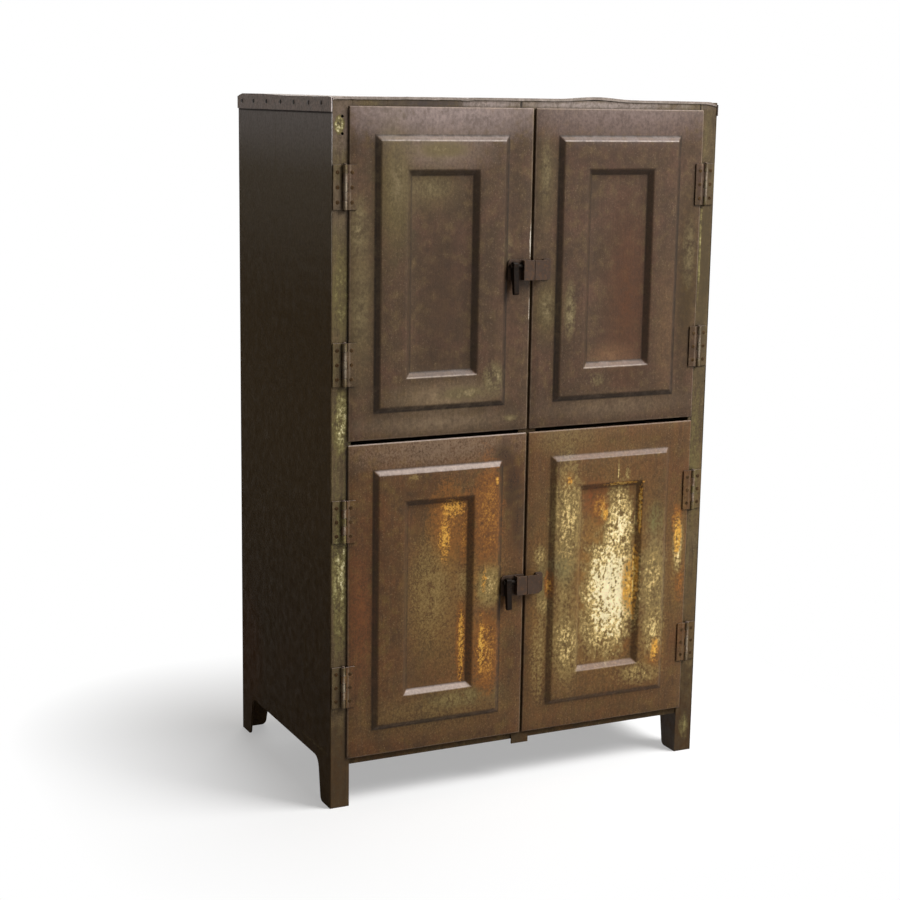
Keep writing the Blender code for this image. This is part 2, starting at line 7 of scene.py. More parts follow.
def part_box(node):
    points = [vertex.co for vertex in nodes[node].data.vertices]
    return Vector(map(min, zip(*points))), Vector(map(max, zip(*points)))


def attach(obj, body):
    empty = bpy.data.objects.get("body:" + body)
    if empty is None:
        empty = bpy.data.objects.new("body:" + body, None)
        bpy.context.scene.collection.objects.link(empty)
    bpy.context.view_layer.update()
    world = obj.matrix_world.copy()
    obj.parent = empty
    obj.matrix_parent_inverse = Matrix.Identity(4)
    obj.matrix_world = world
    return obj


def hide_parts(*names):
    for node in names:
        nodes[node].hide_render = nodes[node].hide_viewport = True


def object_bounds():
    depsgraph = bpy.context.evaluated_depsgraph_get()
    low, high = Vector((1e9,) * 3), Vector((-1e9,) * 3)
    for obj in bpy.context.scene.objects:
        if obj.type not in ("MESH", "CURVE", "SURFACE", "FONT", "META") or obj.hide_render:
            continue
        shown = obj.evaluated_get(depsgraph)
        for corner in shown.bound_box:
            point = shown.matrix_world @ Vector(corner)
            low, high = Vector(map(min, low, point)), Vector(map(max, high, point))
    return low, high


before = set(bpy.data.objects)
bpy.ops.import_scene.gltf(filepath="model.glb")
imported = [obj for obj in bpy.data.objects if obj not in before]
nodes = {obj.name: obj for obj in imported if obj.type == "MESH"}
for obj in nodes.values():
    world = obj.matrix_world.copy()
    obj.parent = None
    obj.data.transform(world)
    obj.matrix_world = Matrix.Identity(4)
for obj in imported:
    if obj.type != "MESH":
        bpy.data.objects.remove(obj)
cadLow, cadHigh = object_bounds()
mm = 0.001
weldGap = 0.00001        # metres within which two corners of a CAD mesh are one
scene = bpy.context.scene
scene.view_settings.view_transform = "Standard"
doorNames = ["upper_left", "upper_right", "lower_left", "lower_right"]
hingeEnds = ["top", "bottom"]
print("frame loaded:", len(nodes), "nodes")


# Small helpers: colour, node building, finished pieces

def toLinear(hexColour):
    parts = [int(hexColour[i:i + 2], 16) / 255 for i in (1, 3, 5)]
    return [c / 12.92 if c <= 0.04045 else ((c + 0.055) / 1.055) ** 2.4 for c in parts] + [1.0]


def perMetre(sizeInMm):
    return 1000 / sizeInMm        # a pattern's scale from the real width of one feature


def addNode(tree, kind, settings=None, links=None):
    node = tree.nodes.new("ShaderNode" + kind)
    for key, value in (settings or {}).items():
        if isinstance(key, int) or key in node.inputs:
            node.inputs[key].default_value = value
        else:
            setattr(node, key, value)
    for key, source in (links or {}).items():
        socket = source
        if isinstance(source, bpy.types.Node):
            socket = next(out for out in source.outputs if out.enabled)
        tree.links.new(socket, node.inputs[key])
    return node


def newMaterial(name):
    material = bpy.data.materials.new(name)
    material.use_nodes = True
    tree = material.node_tree
    return material, tree, tree.nodes["Principled BSDF"], addNode(tree, "TexCoord").outputs["Object"]


def addObject(name, data):
    thing = bpy.data.objects.new(name, data)
    scene.collection.objects.link(thing)
    return thing


def finishPiece(name, bm, material, body, sharpAngle=32):
    mesh = bpy.data.meshes.new(name)
    bm.normal_update()
    bm.to_mesh(mesh)
    bm.free()
    mesh.materials.append(material)
    mesh.shade_smooth()
    mesh.set_sharp_from_angle(angle=math.radians(sharpAngle))
    piece = addObject(name, mesh)
    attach(piece, body)
    return piece


def roundEdges(piece, roundMm, segments=2, angle=30):
    bevel = piece.modifiers.new("worn_edges", "BEVEL")
    bevel.width = roundMm * mm
    bevel.segments = segments
    bevel.limit_method = "ANGLE"
    bevel.angle_limit = math.radians(angle)


def dressNode(name, material, roundMm, segments=2, angle=30):
    node = nodes[name]
    node.data.materials.clear()
    node.data.materials.append(material)
    weld = node.modifiers.new("weld", "WELD")
    weld.merge_threshold = weldGap
    roundEdges(node, roundMm, segments, angle)


# Cuts every edge of a bmesh on planes square to one axis
def cutAcross(bm, axis, places):
    normal = Vector((0, 0, 0))
    normal[axis] = 1
    for place in places:
        bmesh.ops.bisect_plane(bm, geom=bm.verts[:] + bm.edges[:] + bm.faces[:],
                               plane_co=normal * place, plane_no=normal)


# Camera: at the photograph's viewpoint, without shift

cameraSet = {
    "place": (-1.82737, -3.65111, 1.50514),
    "yaw": 25.901,
    "pitch": 11.128,
    "roll": 0.886,
    "lens": 72.088,
    "sensor": 36,
}


def placeCamera():
    yaw, pitch, roll = (math.radians(cameraSet[k]) for k in ("yaw", "pitch", "roll"))
    ahead = Vector((math.sin(yaw) * math.cos(pitch), math.cos(yaw) * math.cos(pitch), -math.sin(pitch)))
    level = Vector((math.cos(yaw), -math.sin(yaw), 0))
    turn = Matrix((level, level.cross(ahead), -ahead)).transposed()
    data = bpy.data.cameras.new("camera")
    data.lens = cameraSet["lens"]
    data.sensor_width = cameraSet["sensor"]
    camera = addObject("camera", data)
    spin = Matrix.Rotation(roll, 3, "Z")
    camera.matrix_world = Matrix.Translation(cameraSet["place"]) @ (turn @ spin).to_4x4()
    scene.camera = camera


placeCamera()
print("camera placed")


# Light: one big soft lamp above and to the right, a weak fill, a low lamp behind, pale floor, white surround

lightSet = {
    "aim": (0, -0.25, 0.8),
    "keyWay": (0.60, -0.42, 0.68),        # from the cabinet towards the lamp
    "keyAway": 5.2,
    "keySize": 3.0,
    "keyPower": 450,
    "fillWay": (0.55, -0.83, 0.05),
    "fillAway": 4.5,
    "fillSize": 2.5,
    "fillPower": 22,
    "backWay": (0.32, 0.93, 0.14),        # low behind, for the sides that the photograph does not show
    "backAway": 4.5,
    "backSize": 2.5,
    "backPower": 80,
    "ambient": 0.11,
    "ambientColour": "#fff3e4",
    "floorSize": 40,
    "floorColour": "#f4f4f4",
    "floorBounce": "#87807a",        # what the floor throws back on the object
    "footprint": (cadHigh.x, cadHigh.y, 1),
    "underWhite": 0.38,        # white that the shadow right under the cabinet keeps
    "fadeEnd": 0.55,        # metres from the cabinet at which the floor is all white
}


def addLamp(name, way, away, size, power):
    data = bpy.data.lights.new(name, "AREA")
    data.size = size
    data.energy = power
    lamp = addObject(name, data)
    way = Vector(way).normalized()
    lamp.location = Vector(lightSet["aim"]) + way * away
    lamp.rotation_mode = "QUATERNION"
    lamp.rotation_quaternion = (-way).to_track_quat("-Z", "Y")


# Camera, glossy and transmission rays, which all see the white surround
def seenRays(tree):
    rays = addNode(tree, "LightPath")
    seen = addNode(tree, "Math", {"operation": "MAXIMUM"}, {
        0: rays.outputs["Is Camera Ray"], 1: rays.outputs["Is Glossy Ray"]})
    return addNode(tree, "Math", {"operation": "MAXIMUM"}, {0: seen, 1: rays.outputs["Is Transmission Ray"]})


def lightRoom():
    for lamp in ("key", "fill", "back"):
        addLamp(lamp + "_lamp", *(lightSet[lamp + k] for k in ("Way", "Away", "Size", "Power")))
    world = bpy.data.worlds.new("white_room")
    scene.world = world
    world.use_nodes = True
    tree = world.node_tree
    tree.nodes.clear()
    soft = addNode(tree, "Background", {"Color": toLinear(lightSet["ambientColour"]),
                                        "Strength": lightSet["ambient"]})
    white = addNode(tree, "Background", {"Color": (1, 1, 1, 1), "Strength": 1})
    blend = addNode(tree, "MixShader", None, {0: seenRays(tree), 1: soft, 2: white})
    addNode(tree, "OutputWorld", None, {"Surface": blend})


# The floor keeps the shadow by the cabinet and turns white away from it
def layFloor():
    bm = bmesh.new()
    bmesh.ops.create_grid(bm, x_segments=1, y_segments=1, size=lightSet["floorSize"] / 2)
    mesh = bpy.data.meshes.new("floor")
    bm.to_mesh(mesh)
    bm.free()
    material, tree = newMaterial("pale_floor")[:2]
    tree.nodes.clear()
    where = addNode(tree, "TexCoord").outputs["Object"]
    reach = addNode(tree, "VectorMath", {"operation": "ABSOLUTE"}, {0: where})
    reach = addNode(tree, "VectorMath", {"operation": "SUBTRACT", 1: lightSet["footprint"]}, {0: reach})
    reach = addNode(tree, "VectorMath", {"operation": "MAXIMUM", 1: (0, 0, 0)}, {0: reach})
    away = addNode(tree, "VectorMath", {"operation": "LENGTH"}, {0: reach})
    fade = addNode(tree, "MapRange", {2: lightSet["fadeEnd"], 3: lightSet["underWhite"]}, {
        0: away.outputs["Value"]})
    matt = addNode(tree, "BsdfDiffuse", {"Color": toLinear(lightSet["floorColour"])})
    white = addNode(tree, "Emission", {"Color": (1, 1, 1, 1), "Strength": 1})
    shown = addNode(tree, "MixShader", None, {0: fade, 1: matt, 2: white})
    bounce = addNode(tree, "BsdfDiffuse", {"Color": toLinear(lightSet["floorBounce"])})
    both = addNode(tree, "MixShader", None, {0: seenRays(tree), 1: bounce, 2: shown})
    addNode(tree, "OutputMaterial", None, {"Surface": both})
    mesh.materials.append(material)
    floor = addObject("floor", mesh)


lightRoom()
layFloor()
print("light and floor ready")


# Finishes. Old brushed enamel on sheet steel: a brown coat over olive and cream ones, thinned and flaked
# by wear, dark in every corner with grime and painted shade, with a dull sheen that turns chalky where it is
# worn

# width of each grain in mm
grainSize = {
    "blotch": 150,       # broad uneven fading
    "bloom": 62,         # reddish and olive tints
    "cloud": 22,         # worn areas with soft borders
    "streak": 8,         # runs down the sheet
    "brush": 3,          # brush marks
    "speck": 5.5,        # flakes
    "fleck": 3,          # dots of dirt and bare coat
    "peel": 2.2,         # orange peel, drawn a little coarser than real so that it shows
}
# how much longer than wide a grain is, down the sheet
grainLength = {"streak": 9, "brush": 22, "speck": 1.2, "fleck": 1.1}
grainSet = {
    "seedStep": 3.1, "grainStep": 7.7, "shift": (1, 0.6, 1.3),        # no two finishes or grains run alike
    "fineBelow": 4, "fineDetail": 2, "detail": 5, "roughness": 0.6,
    "low": 0.3, "high": 0.7,        # the part of the noise that is stretched to full contrast
    "mixLow": 0.28, "mixHigh": 0.72,        # the same for a mix of grains
}


def enamelGrains(tree, where, seed):
    grains = {}
    for number, (name, size) in enumerate(grainSize.items()):
        start = seed * grainSet["seedStep"] + number * grainSet["grainStep"]
        source = addNode(tree, "Mapping", {
            "Location": [start * share for share in grainSet["shift"]],
            "Scale": (1, 1, 1 / grainLength.get(name, 1)),
        }, {"Vector": where})
        detail = grainSet["fineDetail"] if size < grainSet["fineBelow"] else grainSet["detail"]
        raw = addNode(tree, "TexNoise", {
            "Scale": perMetre(size), "Detail": detail, "Roughness": grainSet["roughness"],
        }, {"Vector": source})
        grains[name] = addNode(tree, "MapRange", {1: grainSet["low"], 2: grainSet["high"]}, {0: raw})
    return grains


# A mix of grains, by their shares, stretched to full contrast
def mixGrains(tree, grains, shares):
    total = None
    for name, share in shares.items():
        sources = {0: grains[name], 2: total} if total else {0: grains[name]}
        total = addNode(tree, "Math", {"operation": "MULTIPLY_ADD", 1: share, 2: 0}, sources)
    return addNode(tree, "MapRange", {1: grainSet["mixLow"], 2: grainSet["mixHigh"]}, {0: total})


# A spot fades between these shares of its half width, with a ragged border, all the way through the sheet
spotSet = {"end": 1.4, "full": 0.35, "ragged": 0.55, "through": 1000}


# Where wear lies: soft ellipses on one plane, of which the deepest one counts. Each has its place across
# and up, its width and its height in mm, and its depth
def spotField(tree, where, grains, spots, ragged):
    field = None
    for x, z, wide, high, depth in spots:
        local = addNode(tree, "Mapping", {
            "vector_type": "TEXTURE",
            "Location": (x * mm, 0, z * mm),
            "Scale": (wide / 2 * mm, spotSet["through"], high / 2 * mm),
        }, {"Vector": where})
        away = addNode(tree, "VectorMath", {"operation": "LENGTH"}, {0: local})
        wobble = addNode(tree, "Math", {"operation": "MULTIPLY_ADD", 1: ragged}, {
            0: grains["cloud"], 2: away.outputs["Value"]})
        near = addNode(tree, "MapRange", {
            1: spotSet["end"], 2: spotSet["full"], 4: depth, "interpolation_type": "SMOOTHSTEP",
        }, {0: wobble})
        field = addNode(tree, "Math", {"operation": "MAXIMUM"}, {0: field, 1: near}) if field else near
    return field


# Coats that show one after the other as wear goes deeper: tone, depth where it starts and where it is full
coats = {
    "rust": [("#7f5229", 0.12, 0.40), ("#9a6a30", 0.40, 0.62),
             ("#b9853c", 0.62, 0.84), ("#dcb266", 0.90, 1.15)],
    "pale": [("#8a7447", 0.15, 0.45), ("#b59b64", 0.45, 0.65),
             ("#e3ca8a", 0.65, 0.85), ("#f9ebbe", 0.90, 1.12)],
    "gold": [("#c68e3e", 0.30, 0.55), ("#dbaa4b", 0.52, 0.78), ("#eccb7c", 0.82, 1.0)],
}
upperCoats = {
    "pale": [("#6a5c40", 0.10, 0.36), ("#857656", 0.34, 0.58),
             ("#a3946f", 0.58, 0.80), ("#c8bb9a", 0.85, 1.05)],
    "chip": [("#8f8476", 0.30, 0.45), ("#d5cdc0", 0.50, 0.70)],
}
frameCoats = {
    "pale": [("#655937", 0.10, 0.36), ("#7d7349", 0.36, 0.58),
             ("#a59b6c", 0.60, 0.80), ("#dcd2a8", 0.82, 1.0)],
}


# Distance in from a door's edge, which places dirt and painted shade in the creases, and wear and painted
# highlight on the ridges
def doorInset(tree, where, low, high):
    split = addNode(tree, "SeparateXYZ", None, {0: where})
    least = None
    for axis, (start, end) in {"X": (low.x, high.x), "Z": (low.z, high.z)}.items():
        offCentre = addNode(tree, "Math", {"operation": "SUBTRACT", 1: (start + end) / 2}, {
            0: split.outputs[axis]})
        reach = addNode(tree, "Math", {"operation": "ABSOLUTE"}, {0: offCentre})
        inset = addNode(tree, "Math", {"operation": "SUBTRACT", 0: (end - start) / 2}, {1: reach})
        least = addNode(tree, "Math", {"operation": "MINIMUM"}, {0: least, 1: inset}) if least else inset
    return least


# What a look has where it names nothing else
plainLook = {
    "plane": "XYZ", "coats": coats, "washes": [], "worn": {}, "patches": 0.4, "ragged": 0.55,
    "shake": {"cloud": 0.3, "speck": 0.35, "fleck": 0.35},
    "mottle": (("cloud", 0.84, 1.16), ("speck", 0.8, 1.2), ("brush", 0.95, 1.05)),
    # dust also paints a sheen on faces that look up, and grime a shade in corners
    "dustAndSheen": 0.6, "dustAndSheenTone": "#97867f", "grimeAndShade": 0.8, "smooth": 0.4, "rough": 0.6, "gloss": 0.2,
}
# What every enamel shares: where a mask starts, where it is full, and its share or tone
enamelSet = {
    "shakeLow": 0.3, "shakeHigh": 1.7,        # how far the grains shake the depth of wear
    "dirtStart": 0.18, "dirtFull": 0.06, "dirtShare": 0.9, "dirtTone": "#2c2314",
    "pitStart": 0.25, "pitFull": 0.45,        # depth of wear that holds dirt
    # the dust on faces that look up also paints their sheen
    "ledgeStart": 0.25, "ledgeFull": 0.55,        # how far up a sheet faces that holds dust
    "upStart": 0.04, "upFull": 0.3,        # the same for the bevels of a door
    "breakFull": 0.6, "breakLow": 0.35, "creaseFull": 0.35,
    # grime in corners, which also paints their shade from ambient occlusion
    "cornerReach": 7, "cornerRays": 4, "grimeAndShadeStart": 0.85, "grimeAndShadeFull": 0.35, "grimeAndShadeTone": "#1b140c",
    "flakeRough": 0.25, "flakeHeight": -1.5, "brushHeight": 0.6, "bump": 0.6, "relief": 0.16,
}


# Tints all over the sheet, then washes in one place, each a tone and a mask
def tintMasks(tree, look, grains, plane, uneven):
    masks = []
    # tone, grain, where it starts and is full, share
    for tone, grain, start, full, share in look["tints"]:
        masks.append((tone, addNode(tree, "MapRange", {1: start, 2: full, 4: share}, {0: grains[grain]})))
    # tone, then the spot with its share
    for tone, *spot in look["washes"]:
        patchy = addNode(tree, "MapRange", {3: 1 - look["patches"], 4: 1 + look["patches"]}, {0: uneven})
        field = spotField(tree, plane, grains, [spot], look["ragged"])
        masks.append((tone, addNode(tree, "Math", {"operation": "MULTIPLY", "use_clamp": True}, {
            0: field, 1: patchy})))
    return masks


# Worn spots, whose depth the grains shake so that coats show in flakes, and dirt in their pits. Also gives
# the last coat's mask, where the sheet is rough
def wornMasks(tree, look, grains, plane, uneven):
    masks = []
    flaked = None
    for family, spots in look["worn"].items():
        shaking = addNode(tree, "MapRange", {3: enamelSet["shakeLow"], 4: enamelSet["shakeHigh"]}, {
            0: uneven})
        field = spotField(tree, plane, grains, spots, spotSet["ragged"])
        depth = addNode(tree, "Math", {"operation": "MULTIPLY"}, {0: field, 1: shaking})
        for tone, start, full in look["coats"][family]:
            flaked = addNode(tree, "MapRange", {1: start, 2: full}, {0: depth})
            masks.append((tone, flaked))
        dirt = addNode(tree, "MapRange", {
            1: enamelSet["dirtStart"], 2: enamelSet["dirtFull"], 4: enamelSet["dirtShare"],
        }, {0: grains["speck"]})
        pits = addNode(tree, "MapRange", {1: enamelSet["pitStart"], 2: enamelSet["pitFull"]}, {0: depth})
        masks.append((enamelSet["dirtTone"], addNode(tree, "Math", {"operation": "MULTIPLY"}, {
            0: dirt, 1: pits})))
    return masks, flaked


# Grime, painted shade, painted highlight and rubbing along a door's creases, broken up, some only where the
# sheet faces up or stands upright
def creaseShadingMasks(tree, look, grains, where, faceUp, door):
    masks = []
    inset = doorInset(tree, where, *door)
    broken = addNode(tree, "MapRange", {1: 0, 2: enamelSet["breakFull"], 3: enamelSet["breakLow"]}, {
        0: grains["cloud"]})
    start, full = enamelSet["upStart"], enamelSet["upFull"]
    sides = {
        "up": addNode(tree, "MapRange", {1: start, 2: full}, {0: faceUp}),
        "upright": addNode(tree, "MapRange", {1: full, 2: start}, {0: faceUp}),
    }
    for place, width, tone, share, side in creaseShadeHighlightAndWear:
        off = addNode(tree, "Math", {"operation": "SUBTRACT", 1: place * mm}, {0: inset})
        off = addNode(tree, "Math", {"operation": "ABSOLUTE"}, {0: off})
        near = addNode(tree, "MapRange", {
            1: width * mm, 2: width * enamelSet["creaseFull"] * mm, 4: share * look["crease"],
        }, {0: off})
        near = addNode(tree, "Math", {"operation": "MULTIPLY"}, {0: near, 1: broken})
        if side:
            near = addNode(tree, "Math", {"operation": "MULTIPLY"}, {0: near, 1: sides[side]})
        masks.append((tone, near))
    return masks


def agedEnamel(name, ownLook, door=None):
    look = {**plainLook, **ownLook}
    material, tree, shader, where = newMaterial(name)
    grains = enamelGrains(tree, where, look["seed"])
    # axes that spots read as across, depth and up: XYZ for a front, YXZ for a side, XZY for a top
    split = addNode(tree, "SeparateXYZ", None, {0: where})
    plane = addNode(tree, "CombineXYZ", None, {
        place: split.outputs[axis] for place, axis in enumerate(look["plane"])})
    uneven = mixGrains(tree, grains, look["shake"])
    masks = tintMasks(tree, look, grains, plane, uneven)
    worn, flaked = wornMasks(tree, look, grains, plane, uneven)
    masks += worn
    # dust on ledges that face up, which also paints a sheen on the upper bevels of the doors
    normal = addNode(tree, "SeparateXYZ", None, {0: addNode(tree, "NewGeometry").outputs["Normal"]})
    faceUp = normal.outputs["Z"]
    masks.append((look["dustAndSheenTone"], addNode(tree, "MapRange", {
        1: enamelSet["ledgeStart"], 2: enamelSet["ledgeFull"], 4: look["dustAndSheen"]}, {0: faceUp})))
    if door:
        masks += creaseShadingMasks(tree, look, grains, where, faceUp, door)
    # grime and painted shade in corners, where ambient occlusion finds them
    corner = addNode(tree, "AmbientOcclusion", {
        "samples": enamelSet["cornerRays"], "Distance": enamelSet["cornerReach"] * mm})
    grimeAndShade = addNode(tree, "MapRange", {
        1: enamelSet["grimeAndShadeStart"], 2: enamelSet["grimeAndShadeFull"], 4: look["grimeAndShade"]}, {0: corner.outputs["AO"]})
    masks.append((enamelSet["grimeAndShadeTone"], grimeAndShade))
    colour = addNode(tree, "Mix", {
        "data_type": "RGBA", 6: toLinear(look["paint"]), 7: toLinear(look["faded"]),
    }, {0: grains["blotch"]}).outputs[2]
    for tone, mask in masks:
        colour = addNode(tree, "Mix", {"data_type": "RGBA", 7: toLinear(tone)}, {
            0: mask, 6: colour}).outputs[2]
    # fine mottling and brush marks over everything
    for grain, low, high in look["mottle"]:
        mottle = addNode(tree, "MapRange", {3: low, 4: high}, {0: grains[grain]})
        colour = addNode(tree, "Mix", {"data_type": "RGBA", "blend_type": "MULTIPLY", 0: 1.0}, {
            6: colour, 7: mottle}).outputs[2]
    tree.links.new(colour, shader.inputs["Base Color"])
    rough = addNode(tree, "MapRange", {3: look["smooth"], 4: look["rough"]}, {0: grains["cloud"]})
    height = grains["peel"]
    if flaked:
        rough = addNode(tree, "Math", {
            "operation": "MULTIPLY_ADD", 1: enamelSet["flakeRough"], "use_clamp": True,
        }, {0: flaked, 2: rough})
        height = addNode(tree, "Math", {"operation": "MULTIPLY_ADD", 1: enamelSet["flakeHeight"]}, {
            0: flaked, 2: height})
    height = addNode(tree, "Math", {"operation": "MULTIPLY_ADD", 1: enamelSet["brushHeight"]}, {
        0: grains["brush"], 2: height})
    tree.links.new(rough.outputs[0], shader.inputs["Roughness"])
    shader.inputs["Specular IOR Level"].default_value = look["gloss"]
    bump = addNode(tree, "Bump", {
        "Strength": enamelSet["bump"], "Distance": enamelSet["relief"] * mm}, {"Height": height})
    tree.links.new(bump.outputs[0], shader.inputs["Normal"])
    return material


# Hinge barrels are rubbed pale, with a painted highlight: a wash on each one, for its door and for the frame
barrelRubAndHighlightTone = "#b0a491"
barrelRubAndHighlight = (9, 92, 0.55)        # width and height in mm, share


def barrelWearAndHighlight(door):
    wear = []
    for end in hingeEnds:
        low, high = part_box(f"{door}_{end}_hinge_pin")
        middle = (low + high) / 2 / mm
        wear.append((barrelRubAndHighlightTone, middle.x, middle.z, *barrelRubAndHighlight))
    return wear


# Posts and top rail: brown that runs into olive, cream where it has flaked, dark along the joints, with a
# painted shadow down the posts beside the door edges
frameTints = [
    ("#4b3c29", "bloom", 0.45, 0.85, 0.6),
    ("#6b5f3d", "streak", 0.45, 0.9, 0.55),
    ("#392c1d", "streak", 0.38, 0.0, 0.6),
    ("#8a7e5e", "fleck", 0.72, 0.98, 0.4),
    ("#2a2115", "fleck", 0.26, 0.0, 0.6),
]
frameLook = {
    "paint": "#57472f", "faded": "#64543b", "seed": 1, "tints": frameTints, "coats": frameCoats,
    "shake": {"streak": 0.35, "cloud": 0.25, "speck": 0.4},
    "washes": [
        ("#6d5c49", -434, 1290, 110, 130, 0.8),
        ("#6c5f3a", -434, 1110, 110, 240, 0.7),
        ("#736257", -434, 1450, 110, 150, 0.75),
        ("#45321c", -434, 60, 200, 420, 0.95),
        ("#6a5433", 440, 640, 60, 300, 0.7),
        ("#5d4728", 440, 330, 60, 420, 0.65),
        ("#3d2910", 434, 60, 200, 380, 0.95),
        ("#241a14", -458.5, 790, 4, 1700, 0.85),
        ("#453b37", -235, 1489, 330, 26, 0.85),
        ("#93867f", 150, 1489, 640, 28, 0.92),
        ("#958780", -110, 1489, 150, 28, 0.9),
        ("#1b1510", -31, 1490, 9, 40, 1.0),
        ("#211911", 414, 1488, 5, 40, 1.0),
        # painted shadow of the doors down the posts, beside their edges
        ("#1a130c", -421.5, 790, 5, 1700, 0.9),
        ("#1a130c", 421.5, 790, 5, 1700, 0.9),
        ("#4c3e27", 440, 1150, 60, 760, 0.85),
    ],
    "worn": {"pale": [
        (-434, 1110, 70, 240, 0.46), (-434, 835, 60, 200, 0.68), (-434, 515, 64, 460, 0.62),
        (-441, 1442, 26, 54, 1.15), (427, 1200, 10, 420, 0.5), (434, 700, 50, 500, 0.3),
        (436, 60, 40, 90, 0.4),
    ]},
}
for doorName in doorNames:
    frameLook["washes"] += barrelWearAndHighlight(doorName)
frameEnamel = agedEnamel("olive_brown_enamel", frameLook)

# The top is greyer, pinkish where it is bare
topLook = {
    "paint": "#93867d", "faded": "#a3968d", "seed": 4, "tints": [
        ("#7b6f65", "bloom", 0.45, 0.85, 0.6),
        ("#b3a69d", "cloud", 0.55, 0.95, 0.4),
        ("#c3b8af", "fleck", 0.75, 1.0, 0.35),
        ("#40362d", "fleck", 0.25, 0.0, 0.5),
    ],
    "plane": "XZY",
    "washes": [
        ("#8d8379", 0, 0, 1400, 900, 0.6),
        ("#6b5e51", -150, 60, 420, 280, 0.6),
        ("#5d4c3b", 270, -90, 220, 170, 0.55),
        ("#7d573a", -310, -130, 120, 95, 0.6),
        ("#6d4b30", 130, 180, 190, 130, 0.55),
        ("#b7ada3", 60, -215, 520, 90, 0.45),
        # the left fold lightened: painted light on the side in shade
        ("#d6c9c4", -459, 0, 14, 3000, 0.85),
        ("#6f6359", 459, 0, 14, 3000, 0.85),
    ],
    "dustAndSheen": 0.2, "dustAndSheenTone": "#9d938a", "smooth": 0.5, "rough": 0.7, "gloss": 0.12,
}
topEnamel = agedEnamel("grey_brown_enamel", topLook)

# The sides kept more of a darker coat, almost matt. The left one is lighter towards the top
sideTints = [
    ("#302515", "streak", 0.45, 0.9, 0.2),
    ("#4b3c24", "bloom", 0.45, 0.85, 0.25),
    ("#5a4d39", "fleck", 0.75, 1.0, 0.25),
    ("#21180d", "fleck", 0.25, 0.0, 0.35),
]
sideMottle = (("cloud", 0.94, 1.06), ("speck", 0.88, 1.12), ("brush", 0.96, 1.04))
sideCoats = {"pale": [("#5c4e37", 0.12, 0.40), ("#796a4c", 0.42, 0.64), ("#9a8c70", 0.68, 0.92)]}
leftLook = {
    "paint": "#3a2d1c", "faded": "#443524", "seed": 2, "plane": "YXZ", "tints": sideTints,
    "mottle": sideMottle, "gloss": 0.03, "smooth": 0.6, "rough": 0.8, "dustAndSheen": 0.3,
    "patches": 0.12, "ragged": 0.12,
    "washes": [
        ("#6a5a42", 0, 1050, 3000, 1200, 0.75),
        ("#a39a8b", 0, 1540, 3000, 800, 0.72),
        ("#d2cfd2", 0, 1520, 3000, 300, 0.8),
        ("#8f8474", 55, 1390, 5, 170, 0.35),
        ("#4f321c", 240, 200, 180, 300, 0.45),
        # painted shadow under the top's fold
        ("#241b14", 0, 1468, 1500, 5, 0.8),
    ],
    "coats": sideCoats, "worn": {"pale": [(-262, 700, 12, 900, 0.3), (-180, 118, 260, 16, 0.34)]},
}
leftEnamel = agedEnamel("dark_brown_enamel", leftLook)

# The right one is not seen in the photograph: the same paint with scuffs and a little rust low down
rightLook = dict(leftLook, seed=21, patches=0.3, ragged=0.5, washes=[
    ("#64553e", 0, 1480, 3000, 700, 0.55),
    ("#5e3b21", 150, 250, 300, 420, 0.6),
    ("#553a22", -215, 880, 100, 560, 0.45),
    ("#2c2115", 60, 980, 420, 260, 0.4),
    # painted shadow under the top's fold
    ("#241b14", 0, 1468, 1500, 5, 0.8),
], worn={"pale": [
    (-262, 640, 16, 700, 0.5), (120, 1200, 10, 220, 0.36), (-45, 330, 8, 260, 0.36),
    (190, 280, 170, 260, 0.26), (272, 1000, 12, 560, 0.44), (-180, 118, 260, 16, 0.4),
    (-120, 820, 6, 120, 0.4),
]})
rightEnamel = agedEnamel("scuffed_brown_enamel", rightLook)

# The back stood against a wall: dull primer gone dusty, with rust creeping up from the floor
backLook = {
    "paint": "#6b5c49", "faded": "#7b6b56", "seed": 22, "mottle": sideMottle,
    "gloss": 0.03, "smooth": 0.65, "rough": 0.85,
    "tints": [
        ("#5a4938", "bloom", 0.45, 0.85, 0.5),
        ("#84735c", "cloud", 0.5, 0.9, 0.4),
        ("#574635", "streak", 0.5, 0.9, 0.4),
        ("#968770", "fleck", 0.75, 1.0, 0.3),
        ("#33281d", "fleck", 0.25, 0.0, 0.45),
    ],
    "washes": [
        ("#8d8170", 0, 1400, 1200, 420, 0.5),
        ("#744a2b", -260, 230, 360, 420, 0.65),
        ("#7a4e2d", 310, 190, 300, 330, 0.65),
        ("#6d482c", 60, 640, 90, 620, 0.4),
        ("#54442f", -120, 880, 520, 380, 0.45),
    ],
    "worn": {"rust": [(-300, 150, 240, 120, 0.5), (330, 150, 200, 110, 0.5), (0, 130, 400, 40, 0.44)]},
}
backEnamel = agedEnamel("dusty_primer", backLook)

# Inside the paint is dull and dusty, with rust where goods have rubbed
innerLook = {
    "paint": "#443625", "faded": "#51422e", "seed": 3,
    "gloss": 0.1, "smooth": 0.6, "rough": 0.8, "dustAndSheenTone": "#675b4c",
    "tints": [
        ("#5d4025", "bloom", 0.5, 0.9, 0.6),
        ("#3b2f20", "streak", 0.45, 0.9, 0.4),
        ("#6d5c3d", "cloud", 0.6, 1.0, 0.5),
        ("#7a6a4c", "fleck", 0.75, 1.0, 0.35),
        ("#231a10", "fleck", 0.25, 0.0, 0.5),
    ],
}
innerEnamel = agedEnamel("inside_enamel", innerLook)

